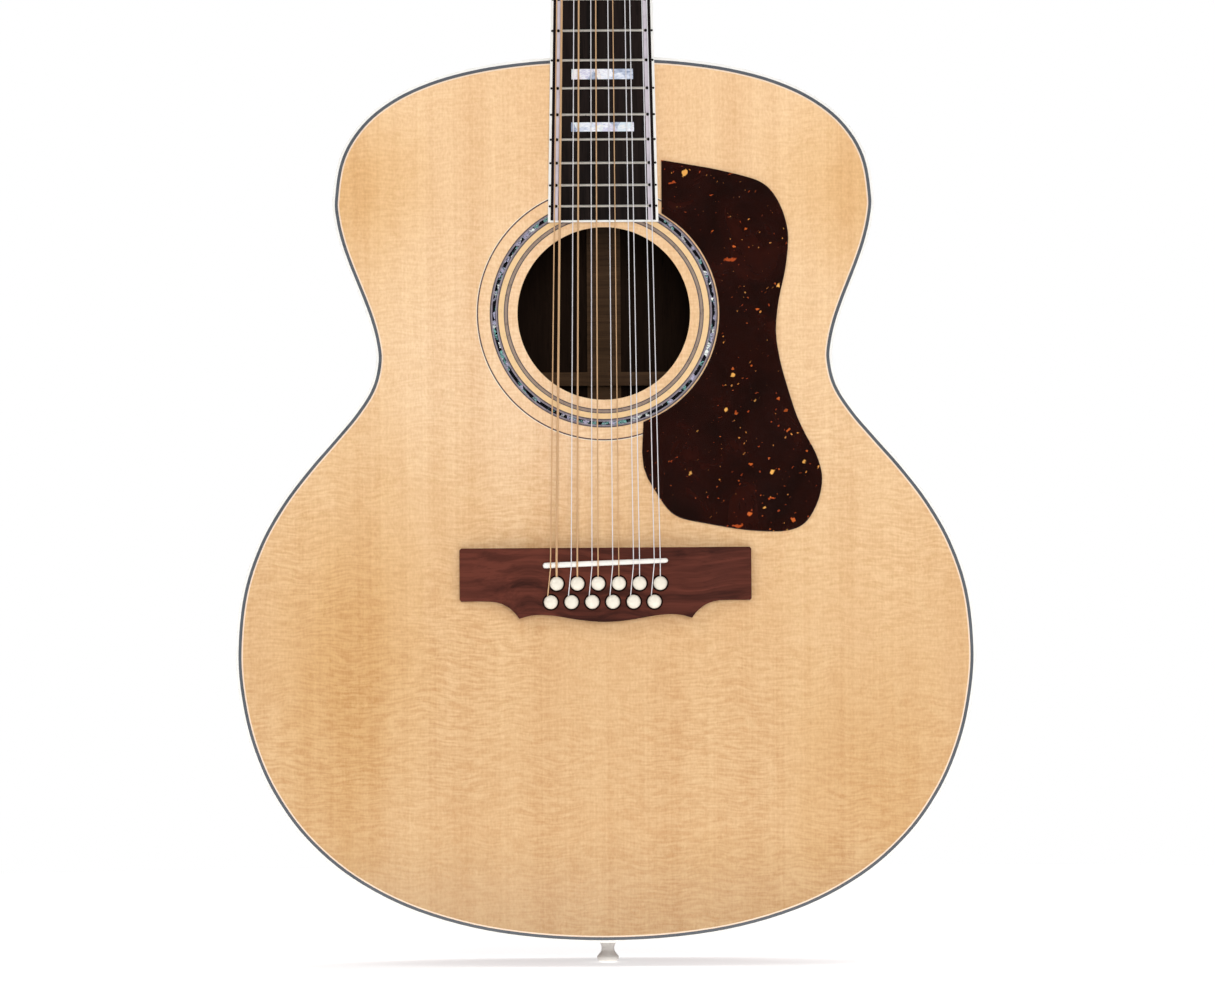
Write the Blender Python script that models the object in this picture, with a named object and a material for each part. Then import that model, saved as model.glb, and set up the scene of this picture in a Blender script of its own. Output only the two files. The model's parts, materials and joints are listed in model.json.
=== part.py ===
"""Twelve-string jumbo acoustic guitar, upright on its strap button.

+Z runs up the neck, the soundboard faces -Y and the treble side is +X. The origin is the centre of the
strap button's flat end face, the lowest point of the guitar. All sizes are in metres.
"""

import math

import bmesh
import bpy
from mathutils import Matrix, Vector

MM = 0.001
GAP = 0.3 * MM                   # clearance between pieces that rest on each other

# Body. Heights in OUTLINE are above the bottom edge of the body.
BUTTON_HEIGHT = 14 * MM          # strap button, from its end face to the body
BODY_BOTTOM = BUTTON_HEIGHT
BODY_LENGTH = 516.9 * MM
DEPTH_TAIL = 125 * MM
DEPTH_NECK = 105 * MM
BACK_ARCH = 5 * MM               # how much shallower the body is at its widest edge than on its centre line
TOP_Y = -DEPTH_TAIL / 2          # front face of the soundboard
BOARD = 3 * MM                   # soundboard and back thickness
WALL = 2.3 * MM                  # side thickness
BINDING_WIDTH = 1.5 * MM
BINDING_DEPTH = 6 * MM
LINING_WIDTH = 6 * MM
LINING_DEPTH = 14 * MM
LINING_STEP = 5 * MM             # full width of the lining before it slopes to the side
ARC_STEPS = 8                    # straight pieces in each curve of the outline

# Half of the outline inside the binding: half width, height, tangent, handle before, handle after
OUTLINE = (
    (0.0, 515.4, (1, 0), 0.0, 57.4),
    (156.3, 433.4, (0, -1), 74.6, 33.0),
    (131.4, 339.9, (0, -1), 30.4, 42.1),
    (214.2, 171.0, (0, -1), 97.8, 63.9),
    (0.0, 1.5, (-1, 0), 182.3, 0.0),
)
LOWER_HALF_WIDTH = 215.7 * MM

# Soundhole and rosette
HOLE_Z = BODY_BOTTOM + 366.9 * MM
HOLE_RADIUS = 50.3 * MM
ROSETTE_INNER = 62.1 * MM
ROSETTE_OUTER = 66.6 * MM
ROSETTE_DEPTH = 1.2 * MM

# Neck, fingerboard and nut
SCALE_LENGTH = 650.9 * MM
NUT_Z = BODY_BOTTOM + 875.2 * MM
NUT_THICKNESS = 5 * MM
NUT_HALF_WIDTH = 23 * MM
NUT_TOP = 9 * MM                 # top of the nut in front of the soundboard plane
BOARD_END_Z = BODY_BOTTOM + 420 * MM
BOARD_END_HALF_WIDTH = 32.2 * MM
FINGERBOARD = 6.5 * MM
FINGERBOARD_RADIUS = 406 * MM
FRETS = 20
FRET_HEIGHT = 1.1 * MM
FRET_HALF_WIDTH = 1.3 * MM
FRET_CROWN_HALF_WIDTH = 0.7 * MM
JOINT_Z = BODY_BOTTOM + BODY_LENGTH + GAP
TENON_HALF_WIDTH = 10 * MM
TENON_LENGTH = 22 * MM
TENON_FRONT = 7 * MM
TENON_BACK = 85 * MM
HEEL_DEPTH = 99 * MM
HEEL_CAP = 2 * MM
HEEL_CAP_EDGE = ((-11.5, 0.5), (11.5, 0.5), (10.5, 8), (6, 13), (0, 15), (-6, 13), (-10.5, 8))

# Heel and shaft sections: height above the joint, depth, half width of the flat back, side hollow
NECK_SECTIONS = (
    (0, 99, 12, 1.5),
    (16, 99, 8, 1.5),
    (21, 80, 7, 1.4),
    (30, 55, 5, 1.3),
    (44, 34, 3, 1.1),
    (62, 23, 2, 0.9),
    (85, 19.5, 2, 0.8),
    (300, 16, 2, 0.8),
)

# Truss rod and its channel under the fingerboard
ROD_DEPTH = 6.5 * MM             # from the soundboard plane back to the rod's axis
ROD_RADIUS = 2.6 * MM
ROD_NUT_RADIUS = 3.2 * MM
CHANNEL_HALF_WIDTH = 3.6 * MM
CHANNEL_DEPTH = 10.2 * MM
POCKET_HALF_WIDTH = 4.4 * MM
POCKET_DEPTH = 10.6 * MM
ROD_COVER = 2 * MM
ROD_COVER_EDGE = ((-9, 2), (9, 2), (11, 6), (10.5, 16), (7, 26), (6, 36), (4, 41), (-4, 41), (-6, 36), (-7, 26),
                  (-10.5, 16), (-11, 6))

# Headstock, in its own frame: y behind its front face, z up from the nut
HEAD_TILT = math.radians(14)
HEAD_LENGTH = 212 * MM
HEAD_THICKNESS = 15 * MM
HEAD_FLARE = ((8, 24.5), (14, 29), (21, 33.5), (30, 36), (100, 37.5))
HEAD_TOP_HALF_WIDTH = 39.5 * MM
HEAD_ROUNDING = 20 * MM

# Tuners
POSTS_PER_SIDE = 6
FIRST_POST = 40 * MM
POST_PITCH = 27 * MM
POST_X = 25.5 * MM
POST_RADIUS = 3 * MM
POST_HEIGHT = 13 * MM
STRING_LEVEL = 7 * MM            # where the string meets its post, in front of the headstock
PLATE = 1.2 * MM
PLATE_HALF_WIDTH = 8 * MM
GEAR_TEETH = 14
GEAR_TIP = 4.9 * MM
GEAR_ROOT = 4.0 * MM
GEAR_THICKNESS = 3.5 * MM
WORM_OFFSET = 6.5 * MM           # from the post's axis down to the key's axis
SHAFT_RADIUS = 1.4 * MM
LUG_INNER = 3.6 * MM
LUG_OUTER = 5.4 * MM
LUG_HALF_HEIGHT = 2.8 * MM
BUTTON_X = 52 * MM               # middle of the key's button
BUTTON_SECTIONS = ((-9, 2.4, 2.4), (-7.5, 3.4, 2.8), (-5, 7.0, 3.4), (0, 9.4, 4.0), (5, 8.0, 3.6), (8, 4.0, 2.0))

# Bridge, saddle, pins and strings
SADDLE_Z = BODY_BOTTOM + 221.5 * MM
SADDLE_SLOPE = 0.036             # the saddle leans to lengthen the bass strings
SADDLE_HALF_LENGTH = 36.5 * MM
SADDLE_THICKNESS = 3 * MM
SADDLE_TOP = 11.8 * MM
SADDLE_SEAT = 3 * MM             # bottom of the saddle in front of the soundboard
BRIDGE_HEIGHT = 8.5 * MM
WING_HEIGHT = 4.5 * MM
WING_SLOPE = (50, 80)            # the bridge thins between these distances from its middle
WING_CORNER = ((84, 230.4), (85, 229.4), (85, 200.4), (84, 199.4))
WING_ARC_START = (68, 199.4)
WING_ARC_RADIUS = 20.5
BELLY_EDGE = ((50.3, 189.3), (44.5, 190.9), (38.6, 191.5), (30, 190.9), (18, 188.9), (8, 187.6), (0, 187.2))
COURSES = 6
SADDLE_PITCH = 12.06 * MM
NUT_PITCH = 7.7 * MM
SADDLE_PAIR = 3.5 * MM
NUT_PAIR = 2.2 * MM
PIN_ROWS = (BODY_BOTTOM + 198.9 * MM, BODY_BOTTOM + 209.6 * MM)
PIN_HOLE_RADIUS = 2.7 * MM
PIN_SECTIONS = ((13, 1.8), (5, 2.2), (-8.8, 2.4), (-8.9, 3.6), (-10, 3.9), (-11.8, 3.2), (-12.7, 1.4))
REAR_STRING_SHIFT = 1.85 * MM    # a rear string leaves its pin off centre to pass the pin in front
STRING_RADII = (0.38, 0.69, 0.23, 0.53, 0.15, 0.41, 0.115, 0.305, 0.2, 0.2, 0.14, 0.14)

# Pickguard, as (x, height above its own datum)
PICKGUARD_DATUM = BODY_BOTTOM + 258.1 * MM
PICKGUARD_EDGE = (
    (34, 198), (76, 190), (97.5, 180.5), (107.8, 152), (100.3, 98), (112, 49), (126.5, 15),
    (118, -12.5), (100, -19), (56, -13.5), (38, -7), (22.6, 19),
)
PICKGUARD_INNER_RADIUS = 67.3 * MM
PICKGUARD = 1 * MM

# Strap button: height and radius up to the body
BUTTON_STOPS = ((0, 5), (1, 6.2), (3, 6.4), (4.5, 5), (7, 3.8), (10, 4.2), (12.4, 6.6))
BUTTON_PEG_RADIUS = 3.2 * MM

# Braces and blocks
CROSS_Z = BODY_BOTTOM + 276 * MM
CROSS_SLOPE = 1.152
BLOCK_HALF_WIDTH = 38 * MM
UNLINED_HALF_WIDTH = 64 * MM     # the linings stop here, beside the blocks
NECK_BLOCK_LENGTH = 45 * MM
TAIL_BLOCK_LENGTH = 20 * MM
CROSS_TOP = BODY_BOTTOM + 430 * MM
CROSS_TAIL_X = 160 * MM          # where the arms of the cross end in the lower bout
FINGER_BRACES = ((62, 6), (98, -12))              # start on the cross, rise along the brace
FINGER_BRACE_END = 190
BACK_BRACES = ((95, 180, 18), (195, 200, 18), (330, 118, 8), (430, 142, 8))   # height, half length, width
CENTRE_STRIP = ((-10, 30), (10, 30), (10, 460), (-10, 460))
BRIDGE_PLATE_EDGE = ((-37, 222), (37, 222), (70, 180), (-70, 180))
BRIDGE_PLATE = 2.5 * MM

COLOURS = {
    "spruce": (0.82, 0.60, 0.36),
    "spruce_brace": (0.70, 0.52, 0.32),
    "rosewood": (0.105, 0.045, 0.030),
    "mahogany": (0.25, 0.11, 0.06),
    "ebony": (0.020, 0.016, 0.014),
    "bone": (0.86, 0.82, 0.72),
    "white_binding": (0.90, 0.88, 0.80),
    "tortoiseshell": (0.06, 0.015, 0.010),
    "abalone": (0.35, 0.55, 0.50),
    "nickel": (0.62, 0.60, 0.57),
    "steel": (0.45, 0.45, 0.46),
    "pearl_button": (0.80, 0.78, 0.72),
    "silver_string": (0.72, 0.72, 0.72),
    "bronze_string": (0.60, 0.36, 0.16),
}
METALS = ("nickel", "steel", "silver_string", "bronze_string")


def clear_scene():
    """Remove every object that a new file starts with."""
    for obj in list(bpy.data.objects):
        bpy.data.objects.remove(obj, do_unlink=True)


def material(name):
    """The named Principled material, made on first use."""
    found = bpy.data.materials.get(name)
    if found:
        return found
    made = bpy.data.materials.new(name)
    made.use_nodes = True
    shader = made.node_tree.nodes["Principled BSDF"]
    metal = name in METALS
    shader.inputs["Base Color"].default_value = (*COLOURS[name], 1.0)
    shader.inputs["Roughness"].default_value = 0.3 if metal else 0.45
    shader.inputs["Metallic"].default_value = 1.0 if metal else 0.0
    return made


def finish(name, bm, colour, parent=None, smooth=None):
    """Turn a bmesh into a named object with outward faces, and return it."""
    bmesh.ops.recalc_face_normals(bm, faces=bm.faces[:])
    mesh = bpy.data.meshes.new(name)
    bm.to_mesh(mesh)
    bm.free()
    mesh.materials.append(material(colour))
    if smooth:
        mesh.shade_smooth()
        mesh.set_sharp_from_angle(angle=math.radians(smooth))
    obj = bpy.data.objects.new(name, mesh)
    bpy.context.scene.collection.objects.link(obj)
    obj.parent = parent
    return obj


def add_loft(bm, sections, closed=False):
    """Skin a row of sections with equal point counts; an open row gets an end face at each end."""
    rings = [[bm.verts.new(point) for point in section] for section in sections]
    pairs = list(zip(rings, rings[1:]))
    if closed:
        pairs.append((rings[-1], rings[0]))
    else:
        bm.faces.new(rings[0][::-1])
        bm.faces.new(rings[-1])
    for low, high in pairs:
        for i in range(len(low)):
            j = (i + 1) % len(low)
            bm.faces.new((low[i], low[j], high[j], high[i]))


def loft(name, sections, colour, closed=False, parent=None, smooth=None):
    """One closed solid through the sections."""
    bm = bmesh.new()
    add_loft(bm, sections, closed)
    return finish(name, bm, colour, parent, smooth)


def plate(name, outline, front, back, colour, strips=(), parent=None):
    """A board inside an outline of (x, z), between y = front(x, z) and y = back(x, z).

    strips are the x positions where a curved board bends.
    """
    bm = bmesh.new()
    bm.faces.new([bm.verts.new((x, 0, z)) for x, z in outline])
    for x in strips:
        everything = bm.verts[:] + bm.edges[:] + bm.faces[:]
        bmesh.ops.bisect_plane(bm, geom=everything, plane_co=(x, 0, 0), plane_no=(1, 0, 0))
    sheet = bm.faces[:]
    rim = [edge for edge in bm.edges if edge.is_boundary]
    twin = {vert: bm.verts.new(vert.co) for vert in bm.verts[:]}
    for edge in rim:
        one, other = edge.verts
        bm.faces.new((one, other, twin[other], twin[one]))
    for face in sheet:
        bm.faces.new([twin[vert] for vert in reversed(face.verts)])
    for vert, copy in twin.items():
        x, z = vert.co.x, vert.co.z
        vert.co.y = front(x, z)
        copy.co.y = back(x, z)
    return finish(name, bm, colour, parent)


def combine(target, operand, operation="DIFFERENCE"):
    """Cut a guide solid from the target, or join it on; the guide itself isn't a part."""
    operand.hide_render = True
    operand.display_type = "WIRE"
    modifier = target.modifiers.new(operand.name, "BOOLEAN")
    modifier.operation = operation
    modifier.solver = "EXACT"
    modifier.object = operand


def circle(radius, count, turn=0.5):
    """Points (u, v) of a regular polygon; turn shifts it by that share of one step."""
    steps = [2 * math.pi * (i + turn) / count for i in range(count)]
    return [(radius * math.cos(a), radius * math.sin(a)) for a in steps]


def rod_y(x, z, stops, count):
    """Sections of a turned piece whose axis is parallel to Y; stops are (y, radius)."""
    return [[(x + u, y, z + v) for u, v in circle(radius, count)] for y, radius in stops]


def rod_z(x, y, stops, count):
    """Sections of a turned piece whose axis is parallel to Z; stops are (z, radius)."""
    return [[(x + u, y + v, z) for u, v in circle(radius, count)] for z, radius in stops]


def box(low, high):
    """Sections of a box between two corners."""
    corners = ((low[0], low[1]), (high[0], low[1]), (high[0], high[1]), (low[0], high[1]))
    return [[(x, y, z) for x, y in corners] for z in (low[2], high[2])]


def cutter(name, solids, parent=None):
    """A guide made of several separate solids."""
    bm = bmesh.new()
    for sections in solids:
        add_loft(bm, sections)
    return finish(name, bm, "steel", parent)


def bezier(p0, p1, p2, p3, t):
    """Point and unit tangent of a cubic curve."""
    s = 1 - t
    point = p0 * s**3 + p1 * 3 * s * s * t + p2 * 3 * s * t * t + p3 * t**3
    tangent = (p1 - p0) * s * s + (p2 - p1) * 2 * s * t + (p3 - p2) * t * t
    return point, tangent.normalized()


def half_stations():
    """Stations down the treble half of the outline: x, z and the outward normal there."""
    stations = []
    for start, end in zip(OUTLINE, OUTLINE[1:]):
        p0 = Vector(start[:2])
        p3 = Vector(end[:2])
        p1 = p0 + Vector(start[2]) * start[4]
        p2 = p3 - Vector(end[2]) * end[3]
        first = 0 if start is OUTLINE[0] else 1
        for i in range(first, ARC_STEPS + 1):
            point, tangent = bezier(p0, p1, p2, p3, i / ARC_STEPS)
            stations.append((point.x * MM, BODY_BOTTOM + point.y * MM, -tangent.y, tangent.x))
    return stations


def body_stations():
    """Stations all round the outline, clockwise from the top."""
    half = half_stations()
    return half + [(-x, z, -nx, nz) for x, z, nx, nz in half[-2:0:-1]]


def outline(offset):
    """The closed outline as (x, z), moved outward by offset."""
    return [(x + nx * offset, z + nz * offset) for x, z, nx, nz in body_stations()]


def edge_height(x, offset, upper):
    """Height of the outline's upper or lower edge at x, moved outward by offset."""
    row = half_stations()
    row = row[: ARC_STEPS + 1] if upper else row[: -ARC_STEPS - 2 : -1]
    points = [(sx + nx * offset, z + nz * offset) for sx, z, nx, nz in row]
    for (x0, z0), (x1, z1) in zip(points, points[1:]):
        if x0 <= abs(x) <= x1:
            return z0 + (z1 - z0) * (abs(x) - x0) / (x1 - x0)
    return points[0][1]


def back_y(x, z):
    """Outer face of the back, tapered along the body and arched across it."""
    share = (z - BODY_BOTTOM) / BODY_LENGTH
    depth = DEPTH_TAIL + (DEPTH_NECK - DEPTH_TAIL) * share
    return TOP_Y + depth - BACK_ARCH * (x / LOWER_HALF_WIDTH) ** 2


ARCH_STRIPS = [LOWER_HALF_WIDTH * step / 4 for step in range(-3, 4)]


def soundboard():
    """Spruce top with the soundhole, the rosette's channel and the bridge pin holes."""
    board = plate(
        "soundboard",
        outline(-GAP),
        lambda x, z: TOP_Y,
        lambda x, z: TOP_Y + BOARD,
        "spruce",
    )
    holes = [rod_y(x, z, ((TOP_Y - BOARD, PIN_HOLE_RADIUS), (TOP_Y + 2 * BOARD, PIN_HOLE_RADIUS)), 8)
             for x, z in pin_places()]
    holes.append(rod_y(0, HOLE_Z, ((TOP_Y - BOARD, HOLE_RADIUS), (TOP_Y + 2 * BOARD, HOLE_RADIUS)), 36))
    combine(board, cutter("soundboard_holes", holes))
    floor = TOP_Y + ROSETTE_DEPTH + GAP
    channel = ring_sections(ROSETTE_INNER - GAP, ROSETTE_OUTER + GAP, TOP_Y - BOARD, floor)
    combine(board, loft("rosette_channel", channel, "steel", closed=True))


def ring_sections(inner, outer, front, back, count=48):
    """Sections of a flat ring round the soundhole's axis."""
    sections = []
    for u, v in circle(1.0, count):
        corners = ((inner, front), (outer, front), (outer, back), (inner, back))
        sections.append([(u * r, y, HOLE_Z + v * r) for r, y in corners])
    return sections


def rosette():
    """Shell ring let into the soundboard."""
    sections = ring_sections(ROSETTE_INNER, ROSETTE_OUTER, TOP_Y, TOP_Y + ROSETTE_DEPTH)
    loft("rosette", sections, "abalone", closed=True)


def back():
    """Arched rosewood back."""
    plate(
        "back",
        outline(-GAP),
        lambda x, z: back_y(x, z) - BOARD,
        back_y,
        "rosewood",
        strips=ARCH_STRIPS,
    )


def clipped_half(x_top, x_tail):
    """Half stations cut short at the neck and at the tail."""
    row = half_stations()

    def between(one, other, x):
        share = (x - one[0]) / (other[0] - one[0])
        return tuple(a + (b - a) * share for a, b in zip(one, other))

    return [between(row[0], row[1], x_top)] + row[1:-1] + [between(row[-1], row[-2], x_tail)]


def side_profile(x, z):
    """Cross-section of one side as (outward offset, y), with its rabbets and linings."""
    rear = back_y(x, z)
    seat = BOARD + GAP
    rabbet = BINDING_DEPTH + GAP
    inner = BINDING_WIDTH - WALL
    lined = inner - (LINING_WIDTH if abs(x) > UNLINED_HALF_WIDTH else 0.2 * MM)
    front_half = [
        (inner, TOP_Y + seat + LINING_DEPTH),
        (lined, TOP_Y + seat + LINING_STEP),
        (lined, TOP_Y + seat),
        (-GAP, TOP_Y + seat),
        (-GAP, TOP_Y + rabbet),
        (BINDING_WIDTH, TOP_Y + rabbet),
    ]
    rear_half = [(offset, rear - (y - TOP_Y)) for offset, y in reversed(front_half)]
    return front_half + rear_half


def side(name, hand):
    """One bent rosewood side with its kerfed linings glued on."""
    sections = []
    for x, z, nx, nz in clipped_half(TENON_HALF_WIDTH + GAP, GAP):
        profile = side_profile(x, z)
        sections.append([(hand * (x + nx * offset), y, z + nz * offset) for offset, y in profile])
    wall = loft(name, sections, "rosewood")
    combine(wall, button_hole(name + "_peg_hole"))


def button_hole(name):
    """Guide for the hole through the tail that holds the strap button's peg."""
    radius = BUTTON_PEG_RADIUS + GAP
    return cutter(name, [rod_z(0, 0, ((0, radius), (BODY_BOTTOM + 40 * MM, radius)), 12)])


def binding(name, front, back_face):
    """A strip let into one edge of the body, all the way round."""
    sections = []
    for x, z, nx, nz in body_stations():
        corners = [(offset, y(x, z)) for offset, y in
                   ((0, front), (BINDING_WIDTH, front), (BINDING_WIDTH, back_face), (0, back_face))]
        sections.append([(x + nx * offset, y, z + nz * offset) for offset, y in corners])
    loft(name, sections, "white_binding", closed=True)


def bindings():
    """Front and back binding."""
    binding("binding_top", lambda x, z: TOP_Y, lambda x, z: TOP_Y + BINDING_DEPTH)
    binding("binding_back", lambda x, z: back_y(x, z) - BINDING_DEPTH, back_y)


def block_outline(length, upper):
    """Outline of a block whose outer edge follows the inside of the sides."""
    offset = BINDING_WIDTH - WALL - 2 * GAP
    steps = [BLOCK_HALF_WIDTH * i / 3 for i in range(-3, 4)]
    edge = [(x, edge_height(x, offset, upper)) for x in steps]
    middle = edge[3][1]
    far = middle - length if upper else middle + length
    return edge + [(BLOCK_HALF_WIDTH, far), (-BLOCK_HALF_WIDTH, far)]


def blocks():
    """Neck block with the tenon's mortise, and tail block with the button's hole."""
    front = TOP_Y + BOARD + GAP
    neck_block = plate(
        "neck_block",
        block_outline(NECK_BLOCK_LENGTH, True),
        lambda x, z: front,
        lambda x, z: back_y(x, z) - BOARD - GAP,
        "mahogany",
    )
    half = TENON_HALF_WIDTH + GAP
    low = (-half, TOP_Y + TENON_FRONT - GAP, JOINT_Z - TENON_LENGTH - GAP)
    high = (half, TOP_Y + TENON_BACK + GAP, JOINT_Z + TENON_LENGTH)
    combine(neck_block, cutter("mortise", [box(low, high)]))
    tail_block = plate(
        "tail_block",
        block_outline(TAIL_BLOCK_LENGTH, False),
        lambda x, z: front,
        lambda x, z: back_y(x, z) - BOARD - GAP,
        "mahogany",
    )
    combine(tail_block, button_hole("tail_block_peg_hole"))


def brace(name, start, end, width, height, tip=3 * MM):
    """A straight spruce brace under the soundboard, thinned toward both ends."""
    start, end = Vector(start), Vector(end)
    along = (end - start).normalized()
    across = Vector((-along.y, along.x)) * width / 2
    front = TOP_Y + BOARD + GAP
    sections = []
    for share, depth in ((0, tip), (0.2, height), (0.8, height), (1, tip)):
        middle = start.lerp(end, share)
        one, other = middle - across, middle + across
        sections.append([(one.x, front, one.y), (other.x, front, other.y),
                         (other.x, front + depth, other.y), (one.x, front + depth, one.y)])
    return loft(name, sections, "spruce_brace")


def on_cross(x):
    """Point of the main cross brace's arm at x: arms rise above the crossing and fall below it."""
    return (x, CROSS_Z - CROSS_SLOPE * abs(x))


def top_bracing():
    """Cross brace, upper brace, tone bars and finger braces, glued into one lattice."""
    reach = (CROSS_TOP - CROSS_Z) / CROSS_SLOPE
    lattice = brace("top_bracing", on_cross(-CROSS_TAIL_X), (reach, CROSS_TOP), 8 * MM, 15 * MM)
    others = [
        (on_cross(CROSS_TAIL_X), (-reach, CROSS_TOP), 8, 15.2),
        ((-143 * MM, CROSS_TOP), (143 * MM, CROSS_TOP), 12, 13),
        (on_cross(92 * MM), (-55 * MM, BODY_BOTTOM + 112 * MM), 7, 10),
        (on_cross(125 * MM), (-15 * MM, BODY_BOTTOM + 70 * MM), 7, 9),
    ]
    for hand in (-1, 1):
        for x, rise in FINGER_BRACES:
            start = on_cross(hand * x * MM)
            others.append((start, (hand * FINGER_BRACE_END * MM, start[1] + rise * MM), 6, 8))
    for number, (start, end, width, height) in enumerate(others):
        piece = brace(f"brace_{number}", start, end, width * MM, height * MM)
        combine(lattice, piece, "UNION")


def back_bracing():
    """Four ladder braces and the centre strip, glued to the back."""
    strip = plate(
        "back_bracing",
        [(x * MM, BODY_BOTTOM + z * MM) for x, z in CENTRE_STRIP],
        lambda x, z: back_y(x, z) - BOARD - GAP - 3 * MM,
        lambda x, z: back_y(x, z) - BOARD - GAP,
        "spruce_brace",
    )
    for number, (height, reach, width) in enumerate(BACK_BRACES):
        z = BODY_BOTTOM + height * MM
        half = width * MM / 2
        reach = reach * MM
        rung = plate(
            f"back_brace_{number}",
            [(-reach, z - half), (reach, z - half), (reach, z + half), (-reach, z + half)],
            lambda x, z: back_y(0, z) - BOARD - 15 * MM,
            lambda x, z: back_y(x, z) - BOARD - 1.3 * GAP,
            "spruce_brace",
            strips=ARCH_STRIPS,
        )
        combine(strip, rung, "UNION")


def bridge_plate():
    """Maple plate under the bridge, between the arms of the cross brace."""
    front = TOP_Y + BOARD + GAP
    rear = front + BRIDGE_PLATE
    plate_object = plate(
        "bridge_plate",
        [(x * MM, BODY_BOTTOM + z * MM) for x, z in BRIDGE_PLATE_EDGE],
        lambda x, z: front,
        lambda x, z: rear,
        "spruce_brace",
    )
    stops = ((front - BOARD, PIN_HOLE_RADIUS), (rear + BOARD, PIN_HOLE_RADIUS))
    combine(plate_object, cutter("bridge_plate_holes", [rod_y(x, z, stops, 8) for x, z in pin_places()]))


def board_half_width(z):
    """Half width of the fingerboard and of the neck under it."""
    share = (NUT_Z - z) / (NUT_Z - BOARD_END_Z)
    return NUT_HALF_WIDTH + (BOARD_END_HALF_WIDTH - NUT_HALF_WIDTH) * share


def board_y(x, lift=0.0):
    """Front of the arched fingerboard, raised by lift."""
    return TOP_Y - FINGERBOARD - lift + x * x / (2 * FINGERBOARD_RADIUS)


def neck_section(half_width, flat, depth, hollow):
    """A neck section as (x, depth), from one front corner round the back to the other."""
    steps = 6
    quarter = []
    for i in range(steps + 1):
        angle = math.pi / 2 * i / steps
        x = flat + (half_width - flat) * max(math.cos(angle), 0.0) ** hollow
        quarter.append((x, depth * math.sin(angle)))
    return quarter + [(-x, y) for x, y in reversed(quarter)]


def head_frame():
    """Empty on the headstock's front face at the nut, leaning back with the headstock."""
    empty = bpy.data.objects.new("headstock_frame", None)
    bpy.context.scene.collection.objects.link(empty)
    empty.location = (0, TOP_Y, NUT_Z + NUT_THICKNESS + GAP)
    empty.rotation_euler = (-HEAD_TILT, 0, 0)
    return empty


def head_matrix():
    """The headstock frame as a matrix."""
    move = Matrix.Translation((0, TOP_Y, NUT_Z + NUT_THICKNESS + GAP))
    return move @ Matrix.Rotation(-HEAD_TILT, 4, "X")


def head_half_width(z):
    """Half width of the headstock at a height in its own frame, rounded off at the top."""
    shoulder = HEAD_LENGTH - HEAD_ROUNDING
    if z <= shoulder:
        return HEAD_TOP_HALF_WIDTH
    share = min((z - shoulder) / HEAD_ROUNDING, 0.97)
    return HEAD_TOP_HALF_WIDTH * (0.35 + 0.65 * math.sqrt(1 - share * share))


def neck():
    """Heel, shaft and headstock in one, with the tenon, the truss rod's channel and the post holes."""
    sections = []
    for rise, depth, flat, hollow in NECK_SECTIONS:
        z = JOINT_Z + rise * MM
        section = neck_section(board_half_width(z), flat * MM, depth * MM, hollow)
        sections.append([(x, TOP_Y + y, z) for x, y in section])
    section = neck_section(NUT_HALF_WIDTH, 2.5 * MM, 15.5 * MM, 0.8)
    for z in (NUT_Z - 20 * MM, NUT_Z + NUT_THICKNESS):
        sections.append([(x, TOP_Y + y, z) for x, y in section])
    turn = head_matrix()
    shoulder = HEAD_LENGTH - HEAD_ROUNDING
    rounding = [shoulder + HEAD_ROUNDING * math.sin(math.pi / 2 * i / 5) for i in range(6)]
    stops = [(z * MM, width * MM) for z, width in HEAD_FLARE] + [(z, head_half_width(z)) for z in rounding]
    for z, half_width in stops:
        section = neck_section(half_width, half_width - 1.5 * MM, HEAD_THICKNESS, 1.0)
        sections.append([turn @ Vector((x, y, z)) for x, y in section])
    body = loft("neck", sections, "mahogany", smooth=35)
    low = (-TENON_HALF_WIDTH, TOP_Y + TENON_FRONT, JOINT_Z - TENON_LENGTH)
    high = (TENON_HALF_WIDTH, TOP_Y + TENON_BACK, JOINT_Z + 5 * MM)
    combine(body, cutter("tenon", [box(low, high)]), "UNION")
    half, depth = CHANNEL_HALF_WIDTH, TOP_Y + CHANNEL_DEPTH
    channel = box((-half, TOP_Y - BOARD, JOINT_Z + 8 * MM), (half, depth, NUT_Z + 8 * MM))
    combine(body, cutter("rod_channel", [channel]))
    half, depth = POCKET_HALF_WIDTH, TOP_Y + POCKET_DEPTH
    pocket = box((-half, TOP_Y - BOARD, NUT_Z - 3 * MM), (half, depth, NUT_Z + 36 * MM))
    combine(body, cutter("rod_pocket", [pocket]))
    radius = POST_RADIUS + GAP
    holes = [rod_y(x, z, ((-5 * MM, radius), (HEAD_THICKNESS + 5 * MM, radius)), 8)
             for x, z in post_places().values()]
    combine(body, cutter("post_holes", holes, head_frame()))


def heel_cap():
    """Thin cap on the end of the heel."""
    front = TOP_Y + HEEL_DEPTH + GAP
    plate(
        "heel_cap",
        [(x * MM, JOINT_Z + z * MM) for x, z in HEEL_CAP_EDGE],
        lambda x, z: front,
        lambda x, z: front + HEEL_CAP,
        "rosewood",
    )


def truss_rod():
    """Two-way rod in the neck's channel, with the hexagonal nut that turns it."""
    stops = (
        (JOINT_Z + 12 * MM, ROD_RADIUS),
        (NUT_Z - 1 * MM, ROD_RADIUS),
        (NUT_Z + 0.5 * MM, ROD_NUT_RADIUS),
        (NUT_Z + NUT_THICKNESS + 10 * MM, ROD_NUT_RADIUS),
    )
    rod = loft("truss_rod", rod_z(0, 0, stops, 6), "steel")
    rod.location = (0, TOP_Y + ROD_DEPTH, 0)


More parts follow.
